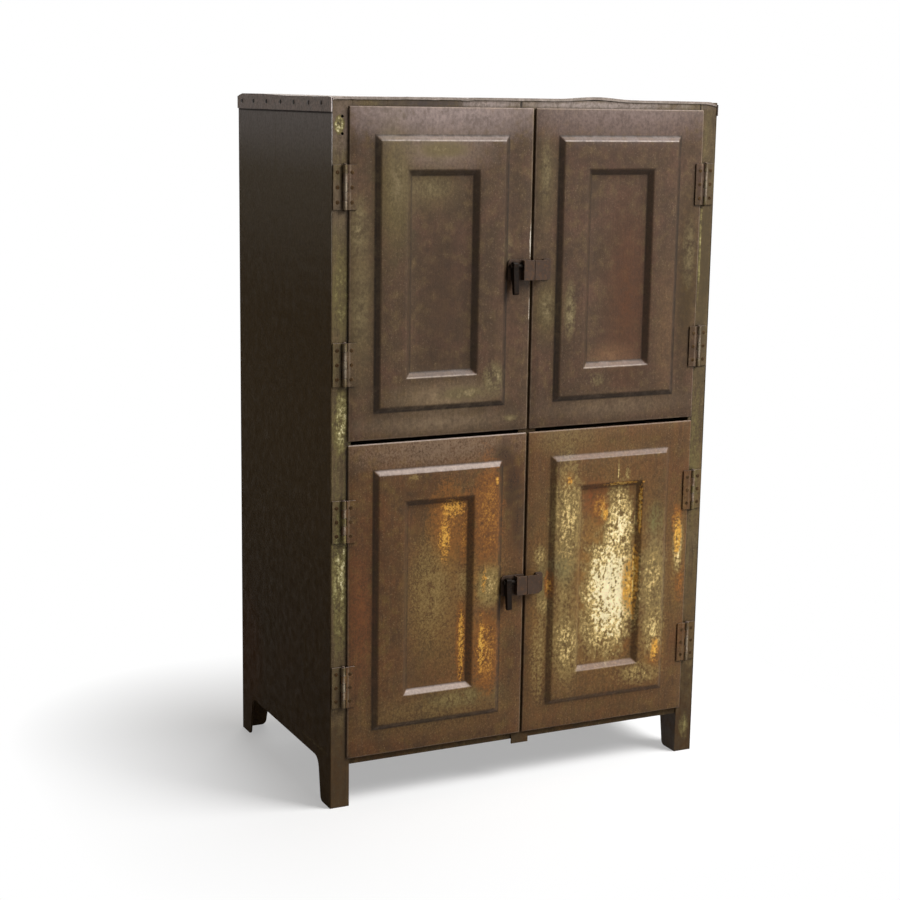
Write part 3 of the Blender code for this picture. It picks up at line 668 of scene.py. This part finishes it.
# Hinges were painted with the doors and posts, over and over, and hold dirt and painted shade round every
# edge
hingeLook = {
    "paint": "#4f3e2b", "faded": "#5b4934", "seed": 5, "grimeAndShade": 0.95, "dustAndSheen": 0.3,
    "tints": [
        ("#66492c", "cloud", 0.55, 0.95, 0.5),
        ("#3a2c1d", "bloom", 0.5, 0.9, 0.4),
        ("#8b7c62", "fleck", 0.7, 0.95, 0.5),
        ("#231a11", "fleck", 0.28, 0.0, 0.6),
    ],
}
hingeEnamel = agedEnamel("hinge_enamel", hingeLook)

# Dark steel that was painted over and has worn, with edges rubbed a little brighter: dull brown latches,
# levers near black, partly painted shade, brown screws that hardly shine, rivets that show as dark dots
steelLook = {
    "latch": {"paint": "#4c3a2e", "faded": "#3d2f25", "rust": "#5c4029", "bright": "#7a695c",
              "edge": 0.5, "gloss": 0.2, "seed": 6},
    # near black for the levers and bolts, partly painted shade
    "lever": {"paint": "#1d150f", "faded": "#140e09", "rust": "#2b1d12", "bright": "#463a30",
              "edge": 0.25, "gloss": 0.08, "seed": 7},
    "screw": {"paint": "#513d27", "faded": "#412f1c", "rust": "#5a3e22", "bright": "#8b7a5e",
              "edge": 0.45, "gloss": 0.06, "seed": 8},
    "rivet": {"paint": "#2a211a", "faded": "#1d1610", "rust": "#3d2a1b", "bright": "#5b4e43",
              "edge": 0.3, "gloss": 0.25, "seed": 9},
}


# What every painted steel shares, named as for the enamels
steelSet = {
    "rustStart": 0.5, "rustFull": 0.85, "rustShare": 0.7,
    "edgeRound": 1.2, "edgeStart": 0.995, "edgeFull": 0.85, "rays": 4,
    # grime in corners, which also paints their shade from ambient occlusion
    "cornerReach": 8, "grimeAndShadeStart": 0.9, "grimeAndShadeFull": 0.4, "grimeAndShadeShare": 0.85, "grimeAndShadeTone": "#16100a",
    "smooth": 0.4, "rough": 0.62, "bump": 0.5, "relief": 0.15,
}


def paintedSteel(name, look):
    material, tree, shader, where = newMaterial(name)
    grains = enamelGrains(tree, where, look["seed"])
    rusted = addNode(tree, "MapRange", {
        1: steelSet["rustStart"], 2: steelSet["rustFull"], 4: steelSet["rustShare"]}, {0: grains["speck"]})
    # rubbed edges: where the rounded normal leaves the flat one
    rounded = addNode(tree, "Bevel", {"samples": steelSet["rays"], "Radius": steelSet["edgeRound"] * mm})
    flat = addNode(tree, "NewGeometry").outputs["Normal"]
    along = addNode(tree, "VectorMath", {"operation": "DOT_PRODUCT"}, {0: rounded, 1: flat})
    edge = addNode(tree, "MapRange", {
        1: steelSet["edgeStart"], 2: steelSet["edgeFull"], 4: look["edge"]}, {0: along.outputs["Value"]})
    edge = addNode(tree, "Math", {"operation": "MULTIPLY"}, {0: edge, 1: grains["speck"]})
    # grime and painted shade in corners, where ambient occlusion finds them
    corner = addNode(tree, "AmbientOcclusion", {
        "samples": steelSet["rays"], "Distance": steelSet["cornerReach"] * mm})
    grimeAndShade = addNode(tree, "MapRange", {
        1: steelSet["grimeAndShadeStart"], 2: steelSet["grimeAndShadeFull"], 4: steelSet["grimeAndShadeShare"],
    }, {0: corner.outputs["AO"]})
    colour = addNode(tree, "Mix", {
        "data_type": "RGBA", 6: toLinear(look["paint"]), 7: toLinear(look["faded"]),
    }, {0: grains["cloud"]}).outputs[2]
    for tone, mask in ((look["rust"], rusted), (look["bright"], edge), (steelSet["grimeAndShadeTone"], grimeAndShade)):
        colour = addNode(tree, "Mix", {"data_type": "RGBA", 7: toLinear(tone)}, {
            0: mask, 6: colour}).outputs[2]
    tree.links.new(colour, shader.inputs["Base Color"])
    rough = addNode(tree, "MapRange", {3: steelSet["smooth"], 4: steelSet["rough"]}, {0: grains["cloud"]})
    tree.links.new(rough.outputs[0], shader.inputs["Roughness"])
    shader.inputs["Specular IOR Level"].default_value = look["gloss"]
    bump = addNode(tree, "Bump", {
        "Strength": steelSet["bump"], "Distance": steelSet["relief"] * mm}, {"Height": grains["peel"]})
    tree.links.new(bump.outputs[0], shader.inputs["Normal"])
    return material


latchSteel = paintedSteel("painted_latch_steel", steelLook["latch"])
# near black, partly painted shade
shadedBlackSteel = paintedSteel("black_shaded_lever_steel", steelLook["lever"])
screwSteel = paintedSteel("oxidised_screw_steel", steelLook["screw"])
rivetSteel = paintedSteel("blackened_rivet_steel", steelLook["rivet"])
print("shared finishes ready")


# Doors: pressed pans with rounded creases and a slightly uneven sheet

doorPress = {
    "border": 57 * mm, "bevel": 11 * mm, "raise": 8 * mm, "field": 59 * mm, "sink": 10 * mm,
    "sheet": 1.5 * mm, "crease": 2.6 * mm, "creaseSteps": 3, "gridX": 22 * mm, "gridZ": 30 * mm,
    "wave": 0.55 * mm, "waveLength": 0.13, "waveStretch": 0.7, "calmEdge": 0.05,
    "foldAngle": 15, "sharpAngle": 40,
}

# grime and painted shade at the feet of the bevels, painted shade on the upright ones, painted highlight on
# the upper ridges, pale rubbing on the outer fold: mm in, width, tone, share, which way the sheet must face
creaseShadeHighlightAndWear = [
    # painted shade on the upright bevels, grime and painted shade at their feet
    (62, 8, "#271c12", 0.8, "upright"),
    (57.5, 3, "#20170e", 0.7, None),
    (132, 8, "#2b2015", 0.65, "upright"),
    (137.8, 3, "#20170e", 0.6, None),
    # painted highlight on the ridges that face up
    (67.6, 2, "#c9bbb2", 0.5, "up"),
    (127.4, 2, "#c2b2a4", 0.45, "up"),
    (1.2, 2.4, "#8f7d6a", 0.4, None),
]

# tints of the upper doors lean to purple brown, those of the lower doors to red
upperTints = [
    ("#5f4334", "bloom", 0.45, 0.85, 0.5),
    ("#40311f", "bloom", 0.42, 0.1, 0.5),
    ("#5f4e34", "cloud", 0.5, 0.9, 0.5),
    ("#463527", "streak", 0.5, 0.9, 0.35),
    ("#8a775f", "fleck", 0.76, 1.0, 0.35),
    ("#2e2319", "fleck", 0.24, 0.0, 0.45),
]
lowerTints = [
    ("#6b4529", "bloom", 0.45, 0.85, 0.5),
    ("#40301f", "bloom", 0.42, 0.1, 0.5),
    ("#64502c", "cloud", 0.5, 0.9, 0.5),
    ("#463425", "streak", 0.5, 0.9, 0.4),
    ("#927c5a", "fleck", 0.76, 1.0, 0.4),
    ("#2e2217", "fleck", 0.24, 0.0, 0.5),
]

# grains that break wear up: soft smudges on the upper doors, chunky flakes in runs on the lower right one
smudged = {"cloud": 0.6, "bloom": 0.15, "speck": 0.25}
flaking = {"cloud": 0.3, "streak": 0.2, "speck": 0.5}

# Door enamels: above dull purple brown with olive smudges, greyer at the top with some painted sheen; below
# red brown, worn through to olive, gold and cream with specks of rust
doorLook = {
    "upper_left": {
        "paint": "#473525", "faded": "#54412e", "seed": 11, "tints": upperTints, "dustAndSheen": 0.25, "crease": 1.0,
        "coats": upperCoats, "patches": 0.25, "shake": smudged,
        "washes": [
            # pinkish grey along the top, partly painted sheen
            ("#8a7a74", -215, 1466, 700, 130, 0.95),
            ("#7e6c5e", -225, 1392, 300, 110, 0.8),
            ("#6a5d3a", -322, 1320, 110, 360, 0.75),
            ("#776a40", -221, 1396, 150, 50, 0.65),
            ("#65573a", -240, 1318, 180, 120, 0.7),
            ("#66583b", -395, 1110, 90, 480, 0.75),
            ("#877358", -200, 882, 330, 90, 0.8),
            ("#786650", -215, 826, 460, 70, 0.7),
            ("#594030", -60, 1080, 90, 520, 0.5),
            ("#432f20", -205, 1080, 150, 400, 0.6),
        ],
        "worn": {
            "pale": [(-89, 914, 80, 110, 0.5), (-160, 888, 180, 50, 0.42), (-400, 1240, 70, 200, 0.34),
                     (-318, 1340, 80, 240, 0.3), (-43, 826, 60, 26, 0.34), (-60, 1180, 60, 150, 0.24),
                     (-397, 1080, 70, 280, 0.26), (-215, 1398, 190, 50, 0.34), (-240, 1320, 170, 80, 0.26)],
            "chip": [(-4, 1205, 7, 110, 0.95), (-4, 1050, 5, 160, 0.55)],
        },
    },
    "upper_right": {
        "paint": "#4a3627", "faded": "#54402f", "seed": 12, "tints": upperTints, "dustAndSheen": 0.2, "crease": 1.0,
        "coats": upperCoats, "patches": 0.25, "shake": smudged,
        "washes": [
            ("#432d22", 414, 1321, 26, 94, 0.8),
            ("#432d22", 414, 960, 26, 94, 0.8),
            # pinkish grey along the top, partly painted sheen
            ("#72615a", 215, 1466, 700, 120, 0.95),
            ("#533420", 240, 1080, 150, 560, 0.8),
            ("#5f522f", 40, 1060, 100, 170, 0.65),
            ("#433319", 395, 1120, 100, 560, 0.85),
            ("#615535", 30, 1330, 70, 280, 0.5),
            ("#6f5d48", 215, 840, 460, 90, 0.65),
            ("#7a5a40", 200, 950, 160, 70, 0.6),
            ("#6b5238", 335, 1000, 80, 420, 0.5),
        ],
        "worn": {
            "pale": [(92, 1055, 44, 190, 0.42), (40, 1060, 70, 130, 0.32), (30, 1350, 40, 200, 0.32),
                     (395, 1170, 60, 280, 0.26), (160, 900, 80, 50, 0.3)],
        },
    },
    "lower_left": {
        "paint": "#533820", "faded": "#60452a", "seed": 13, "tints": lowerTints,
        "dustAndSheen": 0.8, "dustAndSheenTone": "#ab9a90", "crease": 0.8, "patches": 0.7,
        "washes": [
            ("#76604c", -215, 770, 600, 100, 0.85),
            ("#6b4024", -393, 420, 90, 420, 0.65),
            ("#8a6436", -130, 450, 240, 640, 0.55),
            ("#735d38", -215, 190, 440, 130, 0.6),
            ("#7e643a", -225, 450, 170, 400, 0.75),
            ("#8e5a2c", -96, 620, 100, 260, 0.75),
            ("#a3752f", -190, 600, 100, 220, 0.65),
            ("#97894f", -92, 458, 80, 130, 0.75),
            ("#5a4030", -100, 405, 90, 60, 0.5),
            ("#94602c", -100, 320, 90, 210, 0.7),
            ("#6e6742", -150, 215, 240, 60, 0.5),
            ("#352619", -58, 742, 70, 110, 0.75),
            ("#352619", -34, 680, 70, 130, 0.75),
            ("#352619", -20, 590, 60, 170, 0.6),
        ],
        "worn": {
            "rust": [(-94, 620, 110, 380, 0.48), (-190, 610, 130, 260, 0.48), (-150, 590, 40, 280, 0.48),
                     (-95, 310, 100, 280, 0.6), (-152, 336, 40, 300, 0.6)],
            "pale": [(-91, 459, 90, 150, 0.46), (-225, 470, 160, 400, 0.27), (-150, 470, 60, 160, 0.3),
                     (-270, 715, 60, 20, 0.34), (-160, 215, 240, 60, 0.22)],
            "gold": [(-178, 640, 110, 80, 0.56), (-195, 575, 50, 170, 0.56), (-108, 325, 30, 240, 0.58),
                     (-152, 336, 26, 280, 0.58), (-76, 690, 14, 60, 0.5), (-103, 470, 24, 110, 0.46)],
        },
    },
    "lower_right": {
        "paint": "#5a3f24", "faded": "#674b2d", "seed": 14, "tints": lowerTints,
        "dustAndSheen": 0.4, "dustAndSheenTone": "#8f7a70", "crease": 0.4, "patches": 0.7, "shake": flaking,
        "washes": [
            ("#7b6640", 100, 770, 240, 80, 0.6),
            ("#825f32", 215, 450, 440, 700, 0.6),
            ("#9b8756", 100, 590, 100, 340, 0.85),
            ("#8f7849", 103, 330, 100, 360, 0.7),
            ("#a0783f", 215, 450, 190, 460, 0.85),
            ("#7a4725", 176, 630, 110, 110, 0.8),
            ("#93845a", 330, 430, 90, 320, 0.8),
            ("#93733e", 335, 270, 90, 200, 0.7),
            ("#8f6f3c", 397, 480, 50, 340, 0.6),
            ("#7b5a30", 38, 380, 80, 560, 0.6),
            ("#777a55", 93, 486, 70, 110, 0.6),
            ("#726f45", 328, 572, 70, 100, 0.5),
            ("#79774d", 46, 450, 50, 190, 0.4),
        ],
        "worn": {
            "rust": [
                (192, 604, 80, 120, 0.62), (101, 675, 60, 80, 0.6), (338, 268, 80, 170, 0.56),
                (392, 562, 40, 120, 0.66), (404, 420, 40, 170, 0.46), (60, 443, 34, 100, 0.62),
                (275, 420, 60, 330, 0.5), (225, 300, 190, 160, 0.42),
            ],
            "pale": [
                (224, 415, 200, 370, 1.3), (240, 560, 120, 280, 0.9), (206, 330, 180, 240, 0.7),
                (225, 450, 200, 520, 0.4), (102, 590, 120, 380, 0.56), (107, 306, 115, 220, 0.58),
                (100, 420, 100, 240, 0.32), (328, 430, 95, 280, 0.54), (335, 310, 100, 220, 0.54),
                (397, 500, 42, 180, 0.82), (300, 212, 210, 80, 0.42), (40, 285, 70, 340, 0.34),
                (38, 512, 50, 80, 0.46), (50, 398, 60, 80, 0.42), (228, 690, 7, 70, 0.66),
                (252, 684, 20, 50, 0.46),
            ],
            "gold": [
                (283, 435, 24, 250, 0.85), (268, 420, 66, 220, 0.62), (240, 661, 160, 12, 0.85),
                (290, 600, 12, 170, 0.9), (104, 678, 26, 34, 0.56), (340, 262, 40, 110, 0.52),
                (395, 520, 34, 150, 0.72), (61, 443, 16, 70, 0.5), (205, 590, 30, 60, 0.5),
            ],
        },
    },
}


def pressDoor(door):
    low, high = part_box(door + "_door_skin")
    faceY = low.y + doorPress["raise"]
    lip = high.y - faceY
    bm = bmesh.new()
    bmesh.ops.create_grid(bm, x_segments=1, y_segments=1, size=0.5)
    bmesh.ops.scale(bm, vec=(high.x - low.x, high.z - low.z, 1), verts=bm.verts)
    centre = bm.faces[:]
    rim = bmesh.ops.extrude_edge_only(bm, edges=bm.edges[:])["geom"]
    back = [item for item in rim if isinstance(item, bmesh.types.BMVert)]
    bmesh.ops.translate(bm, verts=back, vec=(0, 0, -lip))
    for width, rise in ((doorPress["border"], 0), (doorPress["bevel"], doorPress["raise"]),
                        (doorPress["field"], 0), (doorPress["bevel"], -doorPress["sink"])):
        bmesh.ops.inset_region(bm, faces=centre, thickness=width, depth=rise, use_even_offset=True)
    bmesh.ops.recalc_face_normals(bm, faces=bm.faces[:])
    bm.normal_update()
    if max(bm.faces, key=lambda face: face.calc_area()).normal.z < 0:
        bmesh.ops.reverse_faces(bm, faces=bm.faces[:])
    bent = math.radians(doorPress["foldAngle"])
    folds = [e for e in bm.edges if len(e.link_faces) == 2 and e.calc_face_angle() > bent]
    bmesh.ops.bevel(bm, geom=folds, offset=doorPress["crease"], offset_type="OFFSET", affect="EDGES",
                    segments=doorPress["creaseSteps"], profile=0.5, material=-1, clamp_overlap=True)
    half = Vector(((high.x - low.x) / 2, (high.z - low.z) / 2))
    # cuts across the sheet let it wave a little between the creases
    for axis, step in ((0, doorPress["gridX"]), (1, doorPress["gridZ"])):
        count = int(2 * half[axis] / step)
        cutAcross(bm, axis, [-half[axis] + 2 * half[axis] * k / count for k in range(1, count)])
    seed = doorLook[door]["seed"]
    for vert in bm.verts:
        inset = min(half.x - abs(vert.co.x), half.y - abs(vert.co.y))
        calm = min(1, max(0, (inset - doorPress["calmEdge"]) / doorPress["border"]))
        spot = Vector((vert.co.x, vert.co.y * doorPress["waveStretch"], seed)) / doorPress["waveLength"]
        vert.co.z += doorPress["wave"] * calm * noise.noise(spot)
    middle = Vector(((low.x + high.x) / 2, faceY, (low.z + high.z) / 2))
    bmesh.ops.transform(bm, matrix=Matrix.Translation(middle) @ Matrix.Rotation(math.radians(90), 4, "X"),
                        verts=bm.verts)
    doorLook[door]["washes"] += barrelWearAndHighlight(door)
    enamel = agedEnamel(door + "_door_enamel", doorLook[door], (low, high))
    piece = finishPiece(door + "_door_pan", bm, enamel, door + "_door",
                        doorPress["sharpAngle"])
    # the back of the sheet has the inside paint
    piece.data.materials.append(innerEnamel)
    wall = piece.modifiers.new("sheet", "SOLIDIFY")
    wall.thickness = doorPress["sheet"]
    wall.offset = -1
    wall.use_even_offset = True
    wall.material_offset = 1
    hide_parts(door + "_door_skin")
    return enamel


# Hinge leaves were painted with what they are screwed to. Edges: round in mm, its steps and angle
backingRound = 0.4
hingeEdge = (0.5, 2, 25)
for doorName in doorNames:
    doorEnamel = pressDoor(doorName)
    dressNode(doorName + "_door_backing", innerEnamel, backingRound)
    hingePaint = {"frame_leaf": frameEnamel, "door_leaf": doorEnamel, "hinge_pin": hingeEnamel}
    for end in hingeEnds:
        for part, enamel in hingePaint.items():
            dressNode(f"{doorName}_{end}_{part}", enamel, *hingeEdge)
print("doors pressed, hinges painted")


# Top panel: the folded sheet of the solid, knocked about along its rim

topSet = {
    "cutX": 15 * mm, "cutY": 32 * mm, "cornerCuts": (4 * mm, 8 * mm, 13 * mm),
    "wave": 0.7 * mm, "waveLength": 0.11, "seed": 3, "round": 1.0, "flatAngle": 1, "sharpAngle": 40,
    # x, y from the front edge, reach and depth of each knock in mm, a rise where it is below nothing
    "knocks": [
        (458, 0, 24, 6), (-458, 563, 24, 6), (458, 563, 20, 4), (-458, 0, 14, 2), (0, 0, 480, -1.8),
        (-162, 0, 16, 2.2), (-235, 0, 9, 1.2), (-31, 0, 9, 2), (-290, 0, 12, -0.8), (150, 0, 85, -4.5),
        (-120, 180, 120, 2.5), (230, 330, 150, 3), (-458, 480, 260, -3),
    ],
}


def knockTop():
    low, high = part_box("top_panel")
    bm = bmesh.new()
    bm.from_mesh(nodes["top_panel"].data)
    bmesh.ops.remove_doubles(bm, verts=bm.verts, dist=weldGap)
    bmesh.ops.dissolve_limit(bm, angle_limit=math.radians(topSet["flatAngle"]), verts=bm.verts,
                             edges=bm.edges)
    for axis, step in ((0, topSet["cutX"]), (1, topSet["cutY"])):
        span = high[axis] - low[axis]
        count = int(span / step)
        cutAcross(bm, axis, [low[axis] + span * k / count for k in range(1, count)])
        for off in topSet["cornerCuts"]:
            cutAcross(bm, axis, [low[axis] + off, high[axis] - off])
    for vert in bm.verts:
        share = (vert.co.z - low.z) / (high.z - low.z)        # the lower rim of the side folds stays
        spot = Vector((vert.co.x, vert.co.y, topSet["seed"])) / topSet["waveLength"]
        drop = topSet["wave"] * noise.noise(spot)
        for x, y, reach, depth in topSet["knocks"]:
            away = math.hypot(vert.co.x - x * mm, vert.co.y - low.y - y * mm) / (reach * mm)
            if away < 1:
                drop += depth * mm * (1 - away * away) ** 2
        vert.co.z -= drop * share
    piece = finishPiece("knocked_top_panel", bm, topEnamel, "carcass", topSet["sharpAngle"])
    roundEdges(piece, topSet["round"])
    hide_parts("top_panel")


knockTop()
print("top panel knocked")


# Carcass and latch nodes keep their CAD shape, with worn edges: finish, round in mm, its steps and angle

carcassDress = {
    "front_left_post": (frameEnamel, 1.0), "front_right_post": (frameEnamel, 1.0),
    "rear_left_post": (innerEnamel, 0.4), "rear_right_post": (innerEnamel, 0.4),
    "left_side_panel": (leftEnamel, 0.35), "right_side_panel": (rightEnamel, 0.35),
    "back_panel": (backEnamel, 0.35), "centre_mullion": (innerEnamel, 0.6),
    "top_rail": (frameEnamel, 0.5), "middle_rail": (innerEnamel, 0.5), "bottom_rail": (innerEnamel, 0.5),
    "bottom_panel": (innerEnamel, 0.35), "middle_shelf": (innerEnamel, 0.35),
    "upper_shelf": (innerEnamel, 0.35), "lower_shelf": (innerEnamel, 0.35),
}
for doorName in doorNames:
    carcassDress[doorName + "_cleat"] = (innerEnamel, 0.4)
latchDress = {
    "plate": (latchSteel, 0.9, 3, 25), "keeper": (latchSteel, 0.9, 3, 25),
    "bolt": (shadedBlackSteel, 0.5, 2, 25), "lever": (shadedBlackSteel, 2.6, 4, 40),
}
for tier in ("upper", "lower"):
    for part, dress in latchDress.items():
        carcassDress[f"{tier}_latch_{part}"] = dress
for nodeName, dress in carcassDress.items():
    dressNode(nodeName, *dress)
print("carcass and latches finished")


# Fasteners: slotted screws on the hinge leaves, domed rivets round the top fold and down the back

fastenerSet = {
    "sides": 14, "rings": 8, "seat": 0.15 * mm, "seatFill": 0.9, "seatTaper": 0.96,
    "screwRadius": 4.3 * mm, "screwRise": 0.6 * mm, "slot": 1.1 * mm, "slotWeld": 0.000001,
    "screwHeights": (-30 * mm, 0, 30 * mm), "screwOut": 15 * mm, "screwTurn": 47,
    "rivetRadius": 4.8 * mm, "rivetRise": 2.2 * mm, "rivetDrop": 13 * mm,
    "sideRivets": (53, 124, 208, 287, 373, 456, 532),        # mm back from the front
    "backRivets": 11, "backRivetStep": 84 * mm,
    "seamIn": 22 * mm, "seamRivets": range(150, 1411, 140),        # mm up the back
}


# A low dome on a thin seat, split by a slot where one is asked for
def domedHead(name, radius, rise, slot):
    bm = bmesh.new()
    sides, seat = fastenerSet["sides"], fastenerSet["seat"]
    bmesh.ops.create_uvsphere(bm, u_segments=sides, v_segments=fastenerSet["rings"], radius=radius)
    bmesh.ops.scale(bm, vec=(1, 1, rise / radius), verts=bm.verts)
    planes = [((0, 0, 0), (0, 0, 1))]
    if slot:
        planes.append(((slot / 2, 0, 0), (1, 0, 0)))
    for point, normal in planes:
        bmesh.ops.bisect_plane(bm, geom=bm.verts[:] + bm.edges[:] + bm.faces[:], dist=weldGap,
                               plane_co=point, plane_no=normal, clear_inner=True)
        bmesh.ops.holes_fill(bm, edges=[e for e in bm.edges if e.is_boundary])
    if slot:
        bmesh.ops.mirror(bm, geom=bm.verts[:] + bm.edges[:] + bm.faces[:], axis="X",
                         merge_dist=fastenerSet["slotWeld"])
    bmesh.ops.translate(bm, verts=bm.verts, vec=(0, 0, seat))
    bmesh.ops.create_cone(bm, cap_ends=True, segments=sides, radius1=radius,
                          radius2=radius * fastenerSet["seatTaper"], depth=seat * fastenerSet["seatFill"],
                          matrix=Matrix.Translation((0, 0, seat / 2)))
    bmesh.ops.recalc_face_normals(bm, faces=bm.faces[:])
    mesh = bpy.data.meshes.new(name)
    bm.to_mesh(mesh)
    bm.free()
    return mesh


def setHeads(name, head, places, material, body):
    bm = bmesh.new()
    for place in places:
        start = len(bm.verts)
        bm.from_mesh(head)
        bm.verts.ensure_lookup_table()
        bmesh.ops.transform(bm, matrix=place, verts=bm.verts[start:])
    finishPiece(name, bm, material, body)


def facing(point, degrees, axis, turn=0):
    return (Matrix.Translation(point) @ Matrix.Rotation(math.radians(degrees), 4, axis)
            @ Matrix.Rotation(math.radians(turn), 4, "Z"))


def screwPlaces(door, leaf):
    places = []
    away = fastenerSet["screwOut"]
    for end in hingeEnds:
        pinLow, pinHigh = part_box(f"{door}_{end}_hinge_pin")
        axis = (pinLow + pinHigh) / 2
        out = 1 if (axis.x > 0) == (leaf == "frame_leaf") else -1
        corners = nodes[f"{door}_{end}_{leaf}"].data.vertices
        flat = min(v.co.y for v in corners if (v.co.x - axis.x) * out > away)
        for rise in fastenerSet["screwHeights"]:
            point = Vector((axis.x + out * away, flat, axis.z + rise))
            places.append(facing(point, 90, "X", fastenerSet["screwTurn"] * (len(places) + 1)))
    return places


def rivetPlaces():
    low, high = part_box("top_panel")
    level = high.z - fastenerSet["rivetDrop"]
    places = []
    for back in fastenerSet["sideRivets"]:
        for x, turn in ((low.x, -90), (high.x, 90)):
            places.append(facing((x, low.y + back * mm, level), turn, "Y"))
    for k in range(fastenerSet["backRivets"]):
        x = (k - (fastenerSet["backRivets"] - 1) / 2) * fastenerSet["backRivetStep"]
        places.append(facing((x, high.y, level), -90, "X"))
    return places


# Rivets down both edges of the back, into the rear posts
def seamPlaces():
    low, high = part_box("back_panel")
    inset = fastenerSet["seamIn"]
    return [facing((x, high.y, up * mm), -90, "X")
            for x in (low.x + inset, high.x - inset) for up in fastenerSet["seamRivets"]]


screwHead = domedHead("screw_head", fastenerSet["screwRadius"], fastenerSet["screwRise"],
                      fastenerSet["slot"])
rivetHead = domedHead("rivet_head", fastenerSet["rivetRadius"], fastenerSet["rivetRise"], 0)
framePlaces = []
for doorName in doorNames:
    setHeads(doorName + "_door_screws", screwHead, screwPlaces(doorName, "door_leaf"), screwSteel,
             doorName + "_door")
    framePlaces += screwPlaces(doorName, "frame_leaf")
setHeads("frame_leaf_screws", screwHead, framePlaces, screwSteel, "carcass")
setHeads("top_fold_rivets", rivetHead, rivetPlaces(), rivetSteel, "carcass")
setHeads("back_seam_rivets", rivetHead, seamPlaces(), rivetSteel, "carcass")
for mesh in (screwHead, rivetHead):
    bpy.data.meshes.remove(mesh)
print("screws and rivets set")
